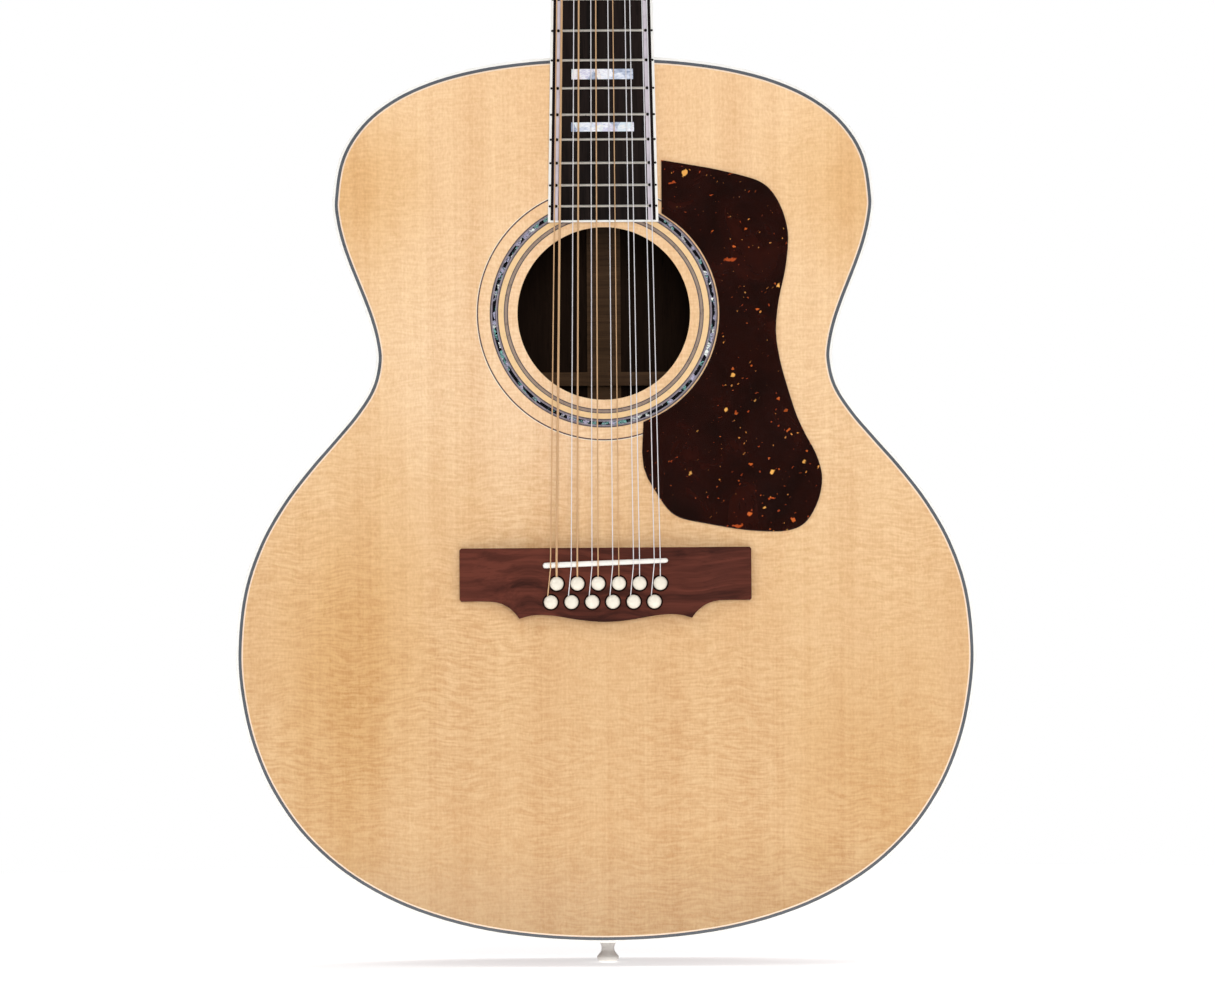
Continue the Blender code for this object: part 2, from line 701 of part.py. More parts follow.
def fingerboard():
    """Ebony fingerboard with its twenty frets pressed in."""
    rows = [(BOARD_END_Z, 0.0)]
    for number in range(FRETS, 0, -1):
        z = NUT_Z - SCALE_LENGTH * (1 - 2 ** (-number / 12))
        rows.append((z - FRET_HALF_WIDTH, 0.0))
        rows.append((z - FRET_CROWN_HALF_WIDTH, FRET_HEIGHT))
        rows.append((z + FRET_CROWN_HALF_WIDTH, FRET_HEIGHT))
        rows.append((z + FRET_HALF_WIDTH, 0.0))
    rows.append((NUT_Z - GAP, 0.0))
    sections = []
    for z, lift in rows:
        half = board_half_width(z)
        section = [(half, TOP_Y - GAP, z), (half, board_y(half, lift), z), (0, board_y(0, lift), z)]
        section += [(-half, board_y(half, lift), z), (-half, TOP_Y - GAP, z)]
        sections.append(section)
    loft("fingerboard", sections, "ebony")


def nut():
    """Bone nut with a slot for each string."""
    half = NUT_HALF_WIDTH
    top = TOP_Y - NUT_TOP
    shape = [(-half, TOP_Y - GAP), (-half, top + 0.6 * MM)]
    for number in range(2 * COURSES):
        x = string_x(number, NUT_PITCH, NUT_PAIR)
        slot = STRING_RADII[number] * MM + 0.15 * MM
        floor = string_y_at_nut(number) + slot
        shape += [(x - slot, top), (x - slot, floor), (x + slot, floor), (x + slot, top)]
    shape += [(half, top + 0.6 * MM), (half, TOP_Y - GAP)]
    loft("nut", [[(x, y, z) for x, y in shape] for z in (NUT_Z, NUT_Z + NUT_THICKNESS)], "bone")


def string_x(number, pitch, pair):
    """Sideways place of a string, counted from the bass side, where courses have this pitch."""
    course, second = divmod(number, 2)
    return (course - (COURSES - 1) / 2) * pitch + (second - 0.5) * pair


def string_y_at_nut(number):
    """Axis of a string as it crosses the nut, just above the first fret."""
    x = string_x(number, NUT_PITCH, NUT_PAIR)
    return board_y(x, FRET_HEIGHT + 0.4 * MM) - STRING_RADII[number] * MM


def string_y_at_saddle(number):
    """Axis of a string as it crosses the saddle."""
    x = string_x(number, SADDLE_PITCH, SADDLE_PAIR)
    return TOP_Y - SADDLE_TOP - GAP + x * x / (2 * FINGERBOARD_RADIUS) - STRING_RADII[number] * MM


def pin_places():
    """Places (x, z) of the bridge pins, in string order: octave strings go to the rear row."""
    return [(string_x(number, SADDLE_PITCH, SADDLE_PAIR), PIN_ROWS[number % 2]) for number in range(2 * COURSES)]


def post_places():
    """String number to its post's (x, z) in the headstock frame; outer strings take the lowest posts."""
    places = {}
    for number in range(2 * POSTS_PER_SIDE):
        bass = number < POSTS_PER_SIDE
        rank = number if bass else 2 * POSTS_PER_SIDE - 1 - number
        places[number] = (-POST_X if bass else POST_X, FIRST_POST + rank * POST_PITCH)
    return places


def bridge_height(x):
    """Height of the bridge: full in the middle and thinner toward the tips of its wings."""
    start, end = WING_SLOPE
    share = min(max((abs(x) / MM - start) / (end - start), 0.0), 1.0)
    return BRIDGE_HEIGHT - (BRIDGE_HEIGHT - WING_HEIGHT) * share


def bridge_outline():
    """Belly bridge: square wings, a hollow arc down to each tip and a bulging lower edge."""
    arc_x, arc_z = WING_ARC_START
    half = list(WING_CORNER)
    for along in (0, 6, 11, 15):
        drop = WING_ARC_RADIUS - math.sqrt(WING_ARC_RADIUS**2 - along**2)
        half.append((arc_x - along, arc_z - drop))
    right = [(x * MM, BODY_BOTTOM + z * MM) for x, z in half + list(BELLY_EDGE)]
    return right + [(-x, z) for x, z in right[-2::-1]]


def bridge():
    """Rosewood bridge with the saddle's slot and the pin holes."""
    body = plate(
        "bridge",
        bridge_outline(),
        lambda x, z: TOP_Y - bridge_height(x),
        lambda x, z: TOP_Y - GAP,
        "rosewood",
        strips=[side * x * MM for side in (-1, 1) for x in (50, 60, 70, 80)],
    )
    stops = ((TOP_Y - 2 * BRIDGE_HEIGHT, PIN_HOLE_RADIUS), (TOP_Y + BOARD, PIN_HOLE_RADIUS))
    combine(body, cutter("bridge_pin_holes", [rod_y(x, z, stops, 8) for x, z in pin_places()]))
    half = SADDLE_HALF_LENGTH + GAP
    depth = SADDLE_THICKNESS / 2 + GAP
    corners = ((-half, TOP_Y - 2 * BRIDGE_HEIGHT), (half, TOP_Y - 2 * BRIDGE_HEIGHT),
               (half, TOP_Y - SADDLE_SEAT + GAP), (-half, TOP_Y - SADDLE_SEAT + GAP))
    slot = [[(x, y, SADDLE_Z + SADDLE_SLOPE * x + shift) for x, y in corners] for shift in (-depth, depth)]
    combine(body, cutter("saddle_slot", [slot]))


def saddle():
    """Bone saddle with an arched top, set at a slant in the bridge."""
    half = SADDLE_HALF_LENGTH
    steps = [half * i / 5 for i in range(-5, 6)]
    shape = [(x, TOP_Y - SADDLE_TOP + x * x / (2 * FINGERBOARD_RADIUS)) for x in steps]
    shape += [(half, TOP_Y - SADDLE_SEAT), (-half, TOP_Y - SADDLE_SEAT)]
    depth = SADDLE_THICKNESS / 2
    sections = [[(x, y, SADDLE_Z + SADDLE_SLOPE * x + shift) for x, y in shape] for shift in (-depth, depth)]
    loft("saddle", sections, "bone")


def strings():
    """Twelve strings, each with the bridge pin that holds its ball end."""
    turn = head_matrix()
    posts = post_places()
    for number, (pin_x, pin_z) in enumerate(pin_places()):
        radius = STRING_RADII[number] * MM
        rear = number % 2 == 0
        at_saddle = string_x(number, SADDLE_PITCH, SADDLE_PAIR)
        at_nut = string_x(number, NUT_PITCH, NUT_PAIR)
        post_x, post_z = posts[number]
        inward = -1 if post_x > 0 else 1
        tangent_x = post_x + inward * (POST_RADIUS + GAP + radius)
        at_post = turn @ Vector((tangent_x, -STRING_LEVEL, post_z))
        nut_y = string_y_at_nut(number)
        path = [
            (pin_x - (REAR_STRING_SHIFT if rear else 0), TOP_Y - 10 * MM, pin_z),
            (at_saddle, string_y_at_saddle(number), SADDLE_Z + SADDLE_SLOPE * at_saddle),
            (at_nut, nut_y, NUT_Z),
            (at_nut, nut_y, NUT_Z + NUT_THICKNESS),
            tuple(at_post),
        ]
        sections = [[(x + u, y + v, z) for u, v in circle(radius, 6)] for x, y, z in path]
        plain = number in (2, 4, 6) or number > 7
        colour = "silver_string" if plain else "bronze_string"
        name = f"string_{number + 1:02d}"
        string = loft(name, sections, colour)
        stops = [(TOP_Y + y * MM, pin_radius * MM) for y, pin_radius in PIN_SECTIONS]
        pin = cutter(f"pin_{number + 1:02d}", [rod_y(pin_x, pin_z, stops, 8)])
        combine(string, pin, "UNION")


def tuner_plate(name, hand, frame):
    """Strip on the back of the headstock that carries one side's posts and keys."""
    front = HEAD_THICKNESS + GAP
    rear = front + PLATE
    length_low = FIRST_POST - WORM_OFFSET - 8 * MM
    length_high = FIRST_POST + (POSTS_PER_SIDE - 1) * POST_PITCH + 10 * MM
    middle = hand * POST_X
    low = (middle - PLATE_HALF_WIDTH, front, length_low)
    high = (middle + PLATE_HALF_WIDTH, rear, length_high)
    strip = loft(name, box(low, high), "nickel", parent=frame)
    lugs = []
    holes = []
    axis_y = key_axis_y()
    for rank in range(POSTS_PER_SIDE):
        post_z = FIRST_POST + rank * POST_PITCH
        key_z = post_z - WORM_OFFSET
        for lug_hand in (-1, 1):
            ends = sorted((middle + lug_hand * LUG_INNER, middle + lug_hand * LUG_OUTER))
            lug_low = (ends[0], rear - PLATE / 2, key_z - LUG_HALF_HEIGHT)
            lugs.append(box(lug_low, (ends[1], axis_y + 2.6 * MM, key_z + LUG_HALF_HEIGHT)))
        reach = 2 * PLATE_HALF_WIDTH
        ring = circle(SHAFT_RADIUS + GAP, 8)
        holes.append([[(middle + x, axis_y + u, key_z + v) for u, v in ring] for x in (-reach, reach)])
        stops = ((0, POST_RADIUS + GAP), (2 * HEAD_THICKNESS, POST_RADIUS + GAP))
        holes.append(rod_y(middle, post_z, stops, 8))
    combine(strip, cutter(name + "_lugs", lugs, frame), "UNION")
    combine(strip, cutter(name + "_holes", holes, frame))


def key_axis_y():
    """Depth of the key's axis and of the gear's middle, in the headstock frame."""
    return HEAD_THICKNESS + GAP + PLATE + GAP + GEAR_THICKNESS / 2


def string_post(number, x, z, frame):
    """Post through the headstock with the gear wheel on its back end; its origin is on its axis."""
    gear_front = key_axis_y() - GEAR_THICKNESS / 2
    gear_back = key_axis_y() + GEAR_THICKNESS / 2
    stops = ((-POST_HEIGHT, 2.6), (-STRING_LEVEL - 2 * MM, 3.0), (-STRING_LEVEL, 2.3), (-STRING_LEVEL + 2 * MM, 3.0))
    post_stops = [(y, radius * MM) for y, radius in stops] + [(gear_back + 0.8 * MM, POST_RADIUS)]
    post = loft(f"string_post_{number:02d}", rod_y(0, 0, post_stops, 8), "nickel", parent=frame, smooth=50)
    post.location = (x, 0, z)
    teeth = []
    for i in range(2 * GEAR_TEETH):
        radius = GEAR_ROOT if i % 2 else GEAR_TIP
        angle = math.pi * i / GEAR_TEETH
        teeth.append((radius * math.sin(angle), radius * math.cos(angle)))
    wheel = cutter(f"gear_{number:02d}", [[[(u, y, v) for u, v in teeth] for y in (gear_front, gear_back)]], frame)
    wheel.location = (x, 0, z)
    combine(post, wheel, "UNION")


def tuner_key(number, x, z, frame):
    """Worm shaft and button; its origin is on its axis."""
    hand = 1 if x > 0 else -1
    inner = -LUG_OUTER - 0.6 * MM
    reach = BUTTON_X - abs(x)
    stops = [(inner, SHAFT_RADIUS, SHAFT_RADIUS)]
    stops += [(reach + along * MM, tall * MM, thick * MM) for along, tall, thick in BUTTON_SECTIONS]
    stops.insert(1, (reach + BUTTON_SECTIONS[0][0] * MM - 1 * MM, SHAFT_RADIUS, SHAFT_RADIUS))
    sections = []
    for along, tall, thick in stops:
        ring = circle(1.0, 10)
        sections.append([(hand * along, thick * u, tall * v) for u, v in ring])
    key = loft(f"tuner_key_{number:02d}", sections, "nickel", parent=frame, smooth=50)
    key.location = (x, key_axis_y(), z - WORM_OFFSET)


def tuners():
    """Both tuner strips with their posts and keys."""
    frame = head_frame()
    tuner_plate("tuner_plate_bass", -1, frame)
    tuner_plate("tuner_plate_treble", 1, frame)
    for number, (x, z) in post_places().items():
        string_post(number + 1, x, z, frame)
        tuner_key(number + 1, x, z, frame)


def truss_rod_cover():
    """Bell-shaped plate over the truss rod's pocket."""
    plate(
        "truss_rod_cover",
        [(x * MM, z * MM) for x, z in ROD_COVER_EDGE],
        lambda x, z: -GAP - ROD_COVER,
        lambda x, z: -GAP,
        "ebony",
        parent=head_frame(),
    )


def smooth_curve(points, steps):
    """Points of a rounded curve through the given (x, z), excluding the last one."""
    path = [Vector(point) for point in points]
    curve = []
    for i in range(len(path) - 1):
        before = path[max(i - 1, 0)]
        after = path[min(i + 2, len(path) - 1)]
        one, two = path[i], path[i + 1]
        reach = (two - one).length
        lean_one = (two - before).normalized() * reach / 3
        lean_two = (after - one).normalized() * reach / 3
        for step in range(steps):
            curve.append(tuple(bezier(one, one + lean_one, two - lean_two, two, step / steps)[0]))
    return curve


def pickguard():
    """Tortoiseshell pickguard, hollowed round the rosette and stopped at the fingerboard."""
    outer = smooth_curve(PICKGUARD_EDGE, 3) + [PICKGUARD_EDGE[-1]]
    edge = [(x * MM, PICKGUARD_DATUM + z * MM) for x, z in outer]
    radius = PICKGUARD_INNER_RADIUS
    first = math.asin(-edge[-1][0] / radius) + math.pi
    last = math.asin(edge[0][0] / radius)
    arc = []
    for i in range(11):
        angle = first + (last - first) * i / 10
        arc.append((radius * math.sin(angle), HOLE_Z + radius * math.cos(angle)))
    plate(
        "pickguard",
        edge + arc,
        lambda x, z: TOP_Y - GAP - PICKGUARD,
        lambda x, z: TOP_Y - GAP,
        "tortoiseshell",
    )


def strap_button():
    """Turned button with a flat end face, and the peg that holds it in the tail block."""
    flange = BODY_BOTTOM - 2 * GAP
    sections = rod_z(0, 0, [(z * MM, radius * MM) for z, radius in BUTTON_STOPS], 16)
    sections += rod_z(0, 0, ((flange, 6.6 * MM), (flange + 0.1 * MM, 3.2 * MM), (BODY_BOTTOM + 18 * MM, 3 * MM)), 16)
    loft("strap_button", sections, "bone", smooth=40)


def build():
    """Make every piece of the guitar."""
    clear_scene()
    soundboard()
    rosette()
    back()
    side("side_bass", -1)
    side("side_treble", 1)
    bindings()
    blocks()
    top_bracing()
    back_bracing()
    bridge_plate()
    neck()
    heel_cap()
    truss_rod()
    fingerboard()
    nut()
    bridge()
    saddle()
    strings()
    tuners()
    truss_rod_cover()
    pickguard()
    strap_button()


build()
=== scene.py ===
"""Looks of the twelve-string jumbo guitar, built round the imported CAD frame.

+Z runs up the neck, the soundboard faces -Y and the treble side is +X. All sizes are in metres.
"""

import json
import math

import bmesh
import bpy
import numpy as np
from mathutils import Matrix, Vector

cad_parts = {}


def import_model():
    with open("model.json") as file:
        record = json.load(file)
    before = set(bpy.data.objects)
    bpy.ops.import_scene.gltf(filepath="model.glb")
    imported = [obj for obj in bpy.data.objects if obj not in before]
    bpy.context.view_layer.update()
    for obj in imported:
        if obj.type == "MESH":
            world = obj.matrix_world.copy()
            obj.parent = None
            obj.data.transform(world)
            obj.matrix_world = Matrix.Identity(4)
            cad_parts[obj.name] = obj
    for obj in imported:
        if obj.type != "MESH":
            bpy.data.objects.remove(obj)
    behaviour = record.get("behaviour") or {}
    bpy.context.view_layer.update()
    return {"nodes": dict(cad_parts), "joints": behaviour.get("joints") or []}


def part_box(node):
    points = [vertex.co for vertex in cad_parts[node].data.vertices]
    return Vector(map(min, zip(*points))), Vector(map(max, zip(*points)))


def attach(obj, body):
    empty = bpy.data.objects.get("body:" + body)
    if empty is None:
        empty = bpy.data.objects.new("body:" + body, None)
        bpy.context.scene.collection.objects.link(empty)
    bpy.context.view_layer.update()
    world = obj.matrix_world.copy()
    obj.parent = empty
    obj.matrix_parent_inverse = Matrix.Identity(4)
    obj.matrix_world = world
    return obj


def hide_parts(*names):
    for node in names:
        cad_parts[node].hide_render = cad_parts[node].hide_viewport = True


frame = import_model()

MM = 0.001
GUITAR = "guitar"                # the body that every fixed piece rides on
LIFT = 0.04 * MM                 # how far thin inlays stand proud of the surface they are let into

# Places read from the frame
TOP_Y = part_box("soundboard")[0].y
NUT_LOW, NUT_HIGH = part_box("nut")
BOARD_LOW, BOARD_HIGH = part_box("fingerboard")
SADDLE_LOW, SADDLE_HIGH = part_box("saddle")
HOLE_Z = sum(corner.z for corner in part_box("rosette")) / 2
BODY_LOW, BODY_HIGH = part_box("binding_top")
JOINTS = {joint["name"]: joint for joint in frame["joints"]}

# Body
HOLE_RADIUS = 50.3 * MM
BOARD = 3 * MM                   # soundboard and back thickness
WALL = 2.3 * MM
BINDING_WIDTH = 1.5 * MM
BINDING_DEPTH = 6 * MM
LINING_WIDTH = 6 * MM
LINING_DEPTH = 14 * MM
DARK_PURFLING = 1.8 * MM
CREAM_PURFLING = 0.8 * MM
END_GRAFT = (9 * MM, 5 * MM)     # half width of the strip in the sides at the tail, at its front and back
OUTLINE_STEPS = 6                # pieces of curve between two corners of the CAD outline
SILK_LEAN = 0.07                 # how far the ripples in the spruce lean, in radians

# Rings round the soundhole: inner and outer radius in millimetres, and look
ROSETTE = (
    (55.8, 56.4, "ring_dark"), (56.4, 57.8, "ring_brown"), (57.8, 58.3, "ring_dark"),
    (58.3, 61.5, "ring_maple"), (61.5, 62.2, "ring_dark"), (62.2, 63.1, "ring_lilac"),
    (63.1, 65.0, "abalone"), (65.0, 65.8, "ring_lilac"), (65.8, 66.5, "ring_dark"),
    (73.2, 74.0, "ring_mauve"), (74.0, 74.4, "ring_white"),
)
RING_DEPTH = 0.5 * MM

# Centre line of the back, each strip on top of the one before: half width in millimetres, name and look
BACK_LINE = ((4.4, "dark", "black_line"), (3.4, "cream", "cream_line"), (2.4, "wood", "overlay"))

# Uneven ambering of the soundboard: x and height above the tail, half width and half height (mm), and change
PATCHES = (
    (-35, 345, 95, 120, 0.15), (-145, 440, 50, 60, -0.22), (145, 440, 60, 60, -0.2),
    (-150, 165, 50, 170, -0.2), (160, 85, 65, 110, -0.12), (105, 15, 110, 60, -0.1),
)

# Powers of the ambering for red, green and blue, so that darker places turn orange
AMBER_HUE = (0.55, 1.0, 1.9)

# Flecks of the pickguard: stretch, turn, largest radius as a share of a cell, colour,
# and share of cells without one
FLECKS = (
    ((62, 55, 1), 0.2, 0.125, (0.90, 0.44, 0.10, 1), 0.68),
    ((120, 150, 1), 0.5, 0.16, (0.55, 0.11, 0.02, 1), 0.74),
    ((34, 130, 1), 0.35, 0.15, (0.50, 0.08, 0.015, 1), 0.70),
    ((210, 260, 1), 0.9, 0.16, (0.38, 0.06, 0.015, 1), 0.76),
    ((300, 230, 1), 0.1, 0.16, (0.70, 0.28, 0.06, 1), 0.86),
)

# Fingerboard
SCALE_LENGTH = 650.9 * MM
FRETS = 20
FRET_HEIGHT = 1.1 * MM
FRET_HALF_WIDTH = 0.75 * MM
ARCH_RADIUS = 406 * MM
FRET_INSET = 5.4 * MM            # from the board's edge to the end of a fret's crown
FRET_END = 0.8 * MM              # the crown slopes down over this length at its ends
FRET_DOTS = ((1.0 * MM, 0.7 * MM), (4.6 * MM, 0.95 * MM))    # dark plugs beyond a fret's end: place and radius
EDGE_STRIPS = ((0.0, 1.5, "white_plastic"), (1.5, 3.2, "black_line"), (3.2, 5.9, "lilac_stripe"))
BOARD_CORE = EDGE_STRIPS[-1][1] * MM
END_LINE = 1.1 * MM
INLAY_FRETS = (1, 3, 5, 7, 9, 12, 15, 17)
INLAY_SHARE = 0.587              # width of a block inlay as a share of the board's
INLAY_HEIGHT = 0.37              # height of a block inlay as a share of its fret space

# Strings, counted from the bass side; their radii are in millimetres
COURSES = 6
SADDLE_PITCH = 12.06 * MM
NUT_PITCH = 7.7 * MM
SADDLE_PAIR = 3.5 * MM
NUT_PAIR = 2.2 * MM
SADDLE_SLOPE = 0.036
STRING_RADII = (0.38, 0.69, 0.23, 0.53, 0.15, 0.41, 0.115, 0.305, 0.2, 0.2, 0.14, 0.14)
WOUND = (0, 1, 3, 5, 7)
THINNEST_WIRE = 0.28             # the finest strings are drawn this thick, to stay unbroken lines
NUT_GAP = 0.4 * MM               # from the level of the frets' crowns to a string at the nut
SADDLE_GAP = 0.1 * MM            # from the saddle's top to a string
REAR_STRING_SHIFT = 1.85 * MM
STRING_LEVEL = 7 * MM            # where a string meets its post, in front of the headstock
POST_RADIUS = 3 * MM
WINDINGS = 3
WRAP_REACH = 2.75 * MM           # from a post's axis to the inner side of the turns round it

# Bridge
BRIDGE_HEIGHT = 8.5 * MM
WING_HEIGHT = 4.5 * MM
WING_SLOPE = (50 * MM, 80 * MM)  # the bridge thins between these distances from its middle
PIN_ROWS = (BODY_LOW.z + 198.9 * MM, BODY_LOW.z + 209.6 * MM)
PIN_SHADOW_RADIUS = 4.95 * MM             # radius of the painted shadow disc round a pin

# Head of a bridge pin: height above the soundboard and radius in millimetres
PIN_SHAPE = (
    (8.4, 3.35), (9.0, 3.95), (9.9, 4.05), (10.8, 3.9), (11.6, 3.4), (12.3, 2.4), (12.7, 1.2), (12.8, 0.05),
)

# Saddle: half thickness at the bass end, how much less at the treble end, length that rounds off at an end,
# how far it rounds down there, and height of its foot above the soundboard
SADDLE_HALF = 1.68 * MM
SADDLE_TAPER = 0.3 * MM
SADDLE_ROUND = 1.6 * MM
SADDLE_DROP = 1.2 * MM
SADDLE_FOOT = 5 * MM

# Crest of the saddle: share of its half thickness, and drop below its top in millimetres
SADDLE_CREST = ((-1, 0.9), (-0.8, 0.35), (-0.4, 0), (0.2, 0), (0.75, 0.4), (1, 1.0))

# Neck: height above its foot, depth and half width of the flat back in millimetres, hollow of the sides
NECK_SECTIONS = (
    (0, 99, 12, 1.5), (16, 99, 8, 1.5), (21, 80, 7, 1.4), (30, 55, 5, 1.3), (44, 34, 3, 1.1),
    (62, 23, 2, 0.9), (85, 19.5, 2, 0.8), (300, 16, 2, 0.8), (338, 15.5, 2.5, 0.8), (363, 15.5, 2.5, 0.8),
)

# Sides of the headstock, in millimetres: height above the nut and half width
HEAD_FLARE = ((8, 24.5), (14, 29), (21, 33.5), (30, 36), (100, 37.5), (192, 39.5))
HEAD_TIP = 20 * MM               # half width where the headstock's rounded corners end
HEAD_SHOULDER = 192 * MM
HEAD_CROWN = 20 * MM
HEAD_THICKNESS = 15 * MM
OVERLAY = 2 * MM

# Cover of the truss rod: thickness, one side as x and z, and its screws, from the headstock's foot
COVER = 2.3 * MM
COVER_SIDE = ((9, 2), (11, 6), (10.5, 16), (7, 26), (6, 36), (4, 41))
COVER_SCREWS = ((0, 37), (-7, 6), (7, 6))
SCREW_HEAD = ((-0.2, 1.0), (0.15, 1.0), (0.45, 0.8), (0.6, 0.4))    # height in millimetres, share of radius

# Tuners, on the axes of the frame's joints
GEAR_TEETH = 14
GEAR_TIP = 4.9 * MM
GEAR_ROOT = 4.0 * MM
GEAR_PITCH_RADIUS = 4.45 * MM
GEAR_THICKNESS = 3.5 * MM
WORM_LENGTH = 6.6 * MM
WORM_CORE = 1.4 * MM
WORM_CREST = 2.05 * MM
KEY_LENGTH = 26.5 * MM           # from the post's axis to the middle of the button
KEY_DROP = 6.5 * MM              # from a post's axis down to its key's
COLLAR = ((6.0, 2.3), (6.3, 2.7), (7.0, 2.7), (7.4, 2.2))    # ring on a key's shaft: place and radius (mm)

# Button of a key, in millimetres: place on the shaft from the button's middle, half height, half thickness
BUTTON_SHAPE = (
    (-9.5, 1.5, 1.5), (-9, 2.4, 2.4), (-7.5, 3.4, 2.8), (-5, 7.0, 3.4), (-2.4, 8.8, 3.8), (0, 9.4, 4.0),
    (2.6, 9.1, 3.9), (5, 8.0, 3.5), (7, 6.0, 2.8), (8, 4.0, 1.9),
)

# Post down to the gear, and its bushing: place in front of the headstock's face and radius in millimetres
POST_SHAPE = (
    (13, 1.9), (12.7, 2.45), (12.2, 2.75), (10, 3.0), (9.0, 2.95), (8, 2.45), (6.2, 2.4), (4.6, 2.6),
    (3.6, 3.0), (-15, 3.0),
)
POST_TAIL = 2.4 * MM             # radius of a post where it carries its gear
BUSHING_SHAPE = ((0, 3.2), (0, 5.2), (0.5, 5.2), (1.2, 4.6), (1.6, 3.8), (1.6, 3.2))

# Strips behind the headstock
STRIP_HALF = 8 * MM
STRIP = 1.5 * MM                 # thickness
STRIP_ENDS = (14.5 * MM, 10 * MM)    # how far a strip reaches below its lowest post and above its highest
LUG = (3.7 * MM, 5.3 * MM)       # a lug's inner and outer side, from the post's axis
LUG_HALF = 2.7 * MM              # half height
STRIP_SCREW = 1.7 * MM           # radius
END_SCREW = 4 * MM               # from a strip's end
MIDDLE_SCREW = 10.5 * MM         # above a post

# Strap button, which the guitar stands on: height and radius in millimetres
STRAP_BUTTON_SHAPE = (
    (0, 5), (0.5, 5.7), (1, 6.2), (2, 6.45), (3, 6.4), (4.5, 5.1), (5.8, 4.1), (7, 3.8), (8.5, 3.85),
    (10, 4.2), (11.6, 5.6), (12.4, 6.6), (13.9, 6.6),
)


# ---- Materials -------------------------------------------------------------------------------------------

def srgb(red, green, blue):
    """A colour given as the eye sees it, 0 to 255, as a linear one."""
    shares = [channel / 255 for channel in (red, green, blue)]
    linear = [((share + 0.055) / 1.055) ** 2.4 if share > 0.04045 else share / 12.92 for share in shares]
    return (*linear, 1.0)


def add_node(tree, kind, inputs=None, **settings):
    """Add a node to a tree; inputs are values or other nodes' outputs."""
    made = tree.nodes.new(kind)
    for key, value in settings.items():
        setattr(made, key, value)
    for key, value in (inputs or {}).items():
        if isinstance(value, bpy.types.NodeSocket):
            tree.links.new(value, made.inputs[key])
        else:
            made.inputs[key].default_value = value
    return made


class Look:
    """A material with its shader, and short ways to add nodes to it."""

    def __init__(self, name, colour, roughness=0.5, metallic=0.0, coat=0.0):
        self.material = bpy.data.materials.new(name)
        self.material.use_nodes = True
        self.tree = self.material.node_tree
        self.shader = self.tree.nodes["Principled BSDF"]
        self.place = self.node("ShaderNodeTexCoord").outputs["Object"]
        self.set("Base Color", colour)
        self.set("Roughness", roughness)
        self.set("Metallic", metallic)
        self.set("Coat Weight", coat)
        self.set("Coat Roughness", 0.06)

    def set(self, socket, value):
        """Give the shader a value or another node's output."""
        if isinstance(value, bpy.types.NodeSocket):
            self.tree.links.new(value, self.shader.inputs[socket])
        else:
            self.shader.inputs[socket].default_value = value

    def node(self, kind, inputs=None, **settings):
        """Add a node to this material."""
        return add_node(self.tree, kind, inputs, **settings)

    def scaled(self, scale, source=None, turn=(0, 0, 0)):
        """Coordinates stretched by scale, in repeats per metre; one number stretches all three alike."""
        if not isinstance(scale, (tuple, list)):
            scale = (scale, scale, scale)
        inputs = {"Vector": source or self.place, "Scale": scale, "Rotation": turn}
        return self.node("ShaderNodeMapping", inputs).outputs["Vector"]

    def parts(self):
        """The outputs X, Y and Z of the place on the object."""
        return self.node("ShaderNodeSeparateXYZ", {"Vector": self.place}).outputs

    def combine(self, x=0.0, y=0.0, z=0.0):
        """A vector of three values."""
        return self.node("ShaderNodeCombineXYZ", {"X": x, "Y": y, "Z": z}).outputs["Vector"]

    def vector(self, operation, one, other=(0, 0, 0), output="Vector"):
        """A Vector Math node."""
        return self.node("ShaderNodeVectorMath", {0: one, 1: other}, operation=operation).outputs[output]

    def noise(self, vector, detail=3.0, roughness=0.5, distortion=0.0):
        """Smooth noise from 0 to 1."""
        inputs = {"Vector": vector, "Scale": 1.0, "Detail": detail, "Roughness": roughness,
                  "Distortion": distortion}
        return self.node("ShaderNodeTexNoise", inputs).outputs["Fac"]

    def calc(self, operation, first, second=0.0):
        """A Math node."""
        made = self.node("ShaderNodeMath", {0: first, 1: second, 2: 0.0}, operation=operation)
        return made.outputs["Value"]

    def add(self, first, *others):
        """The sum of all the values."""
        for other in others:
            first = self.calc("ADD", first, other)
        return first

    def times(self, first, second):
        """The product of two values."""
        return self.calc("MULTIPLY", first, second)

    def span(self, value, low, high, to_low=0.0, to_high=1.0):
        """Stretch a range of values to another range, clamped."""
        inputs = {"Value": value, "From Min": low, "From Max": high, "To Min": to_low, "To Max": to_high}
        return self.node("ShaderNodeMapRange", inputs).outputs["Result"]

    def mix(self, share, one, other, blend="MIX"):
        """Blend two colours."""
        inputs = {0: share, 6: one, 7: other}
        return self.node("ShaderNodeMix", inputs, data_type="RGBA", blend_type=blend).outputs[2]

    def ramp(self, value, *stops):
        """Colour ramp; stops are (position, colour)."""
        made = self.node("ShaderNodeValToRGB", {"Fac": value})
        while len(made.color_ramp.elements) < len(stops):
            made.color_ramp.elements.new(0.5)
        for element, (position, colour) in zip(made.color_ramp.elements, stops):
            element.position = position
            element.color = colour
        return made.outputs["Color"]

    def grey(self, value):
        """The same value in all three channels."""
        return self.node("ShaderNodeCombineColor", {0: value, 1: value, 2: value}).outputs["Color"]

    def bump(self, height, distance, strength=1.0):
        """Raise the surface by a height map; distance is in metres."""
        inputs = {"Height": height, "Distance": distance, "Strength": strength}
        self.set("Normal", self.node("ShaderNodeBump", inputs).outputs["Normal"])

    def worn(self, low, high, scale=60.0):
        """Roughness that varies softly over the surface, as handling leaves it."""
        patches = self.noise(self.scaled(scale), 4.0, 0.6)
        self.set("Roughness", self.span(patches, 0.3, 0.7, low, high))


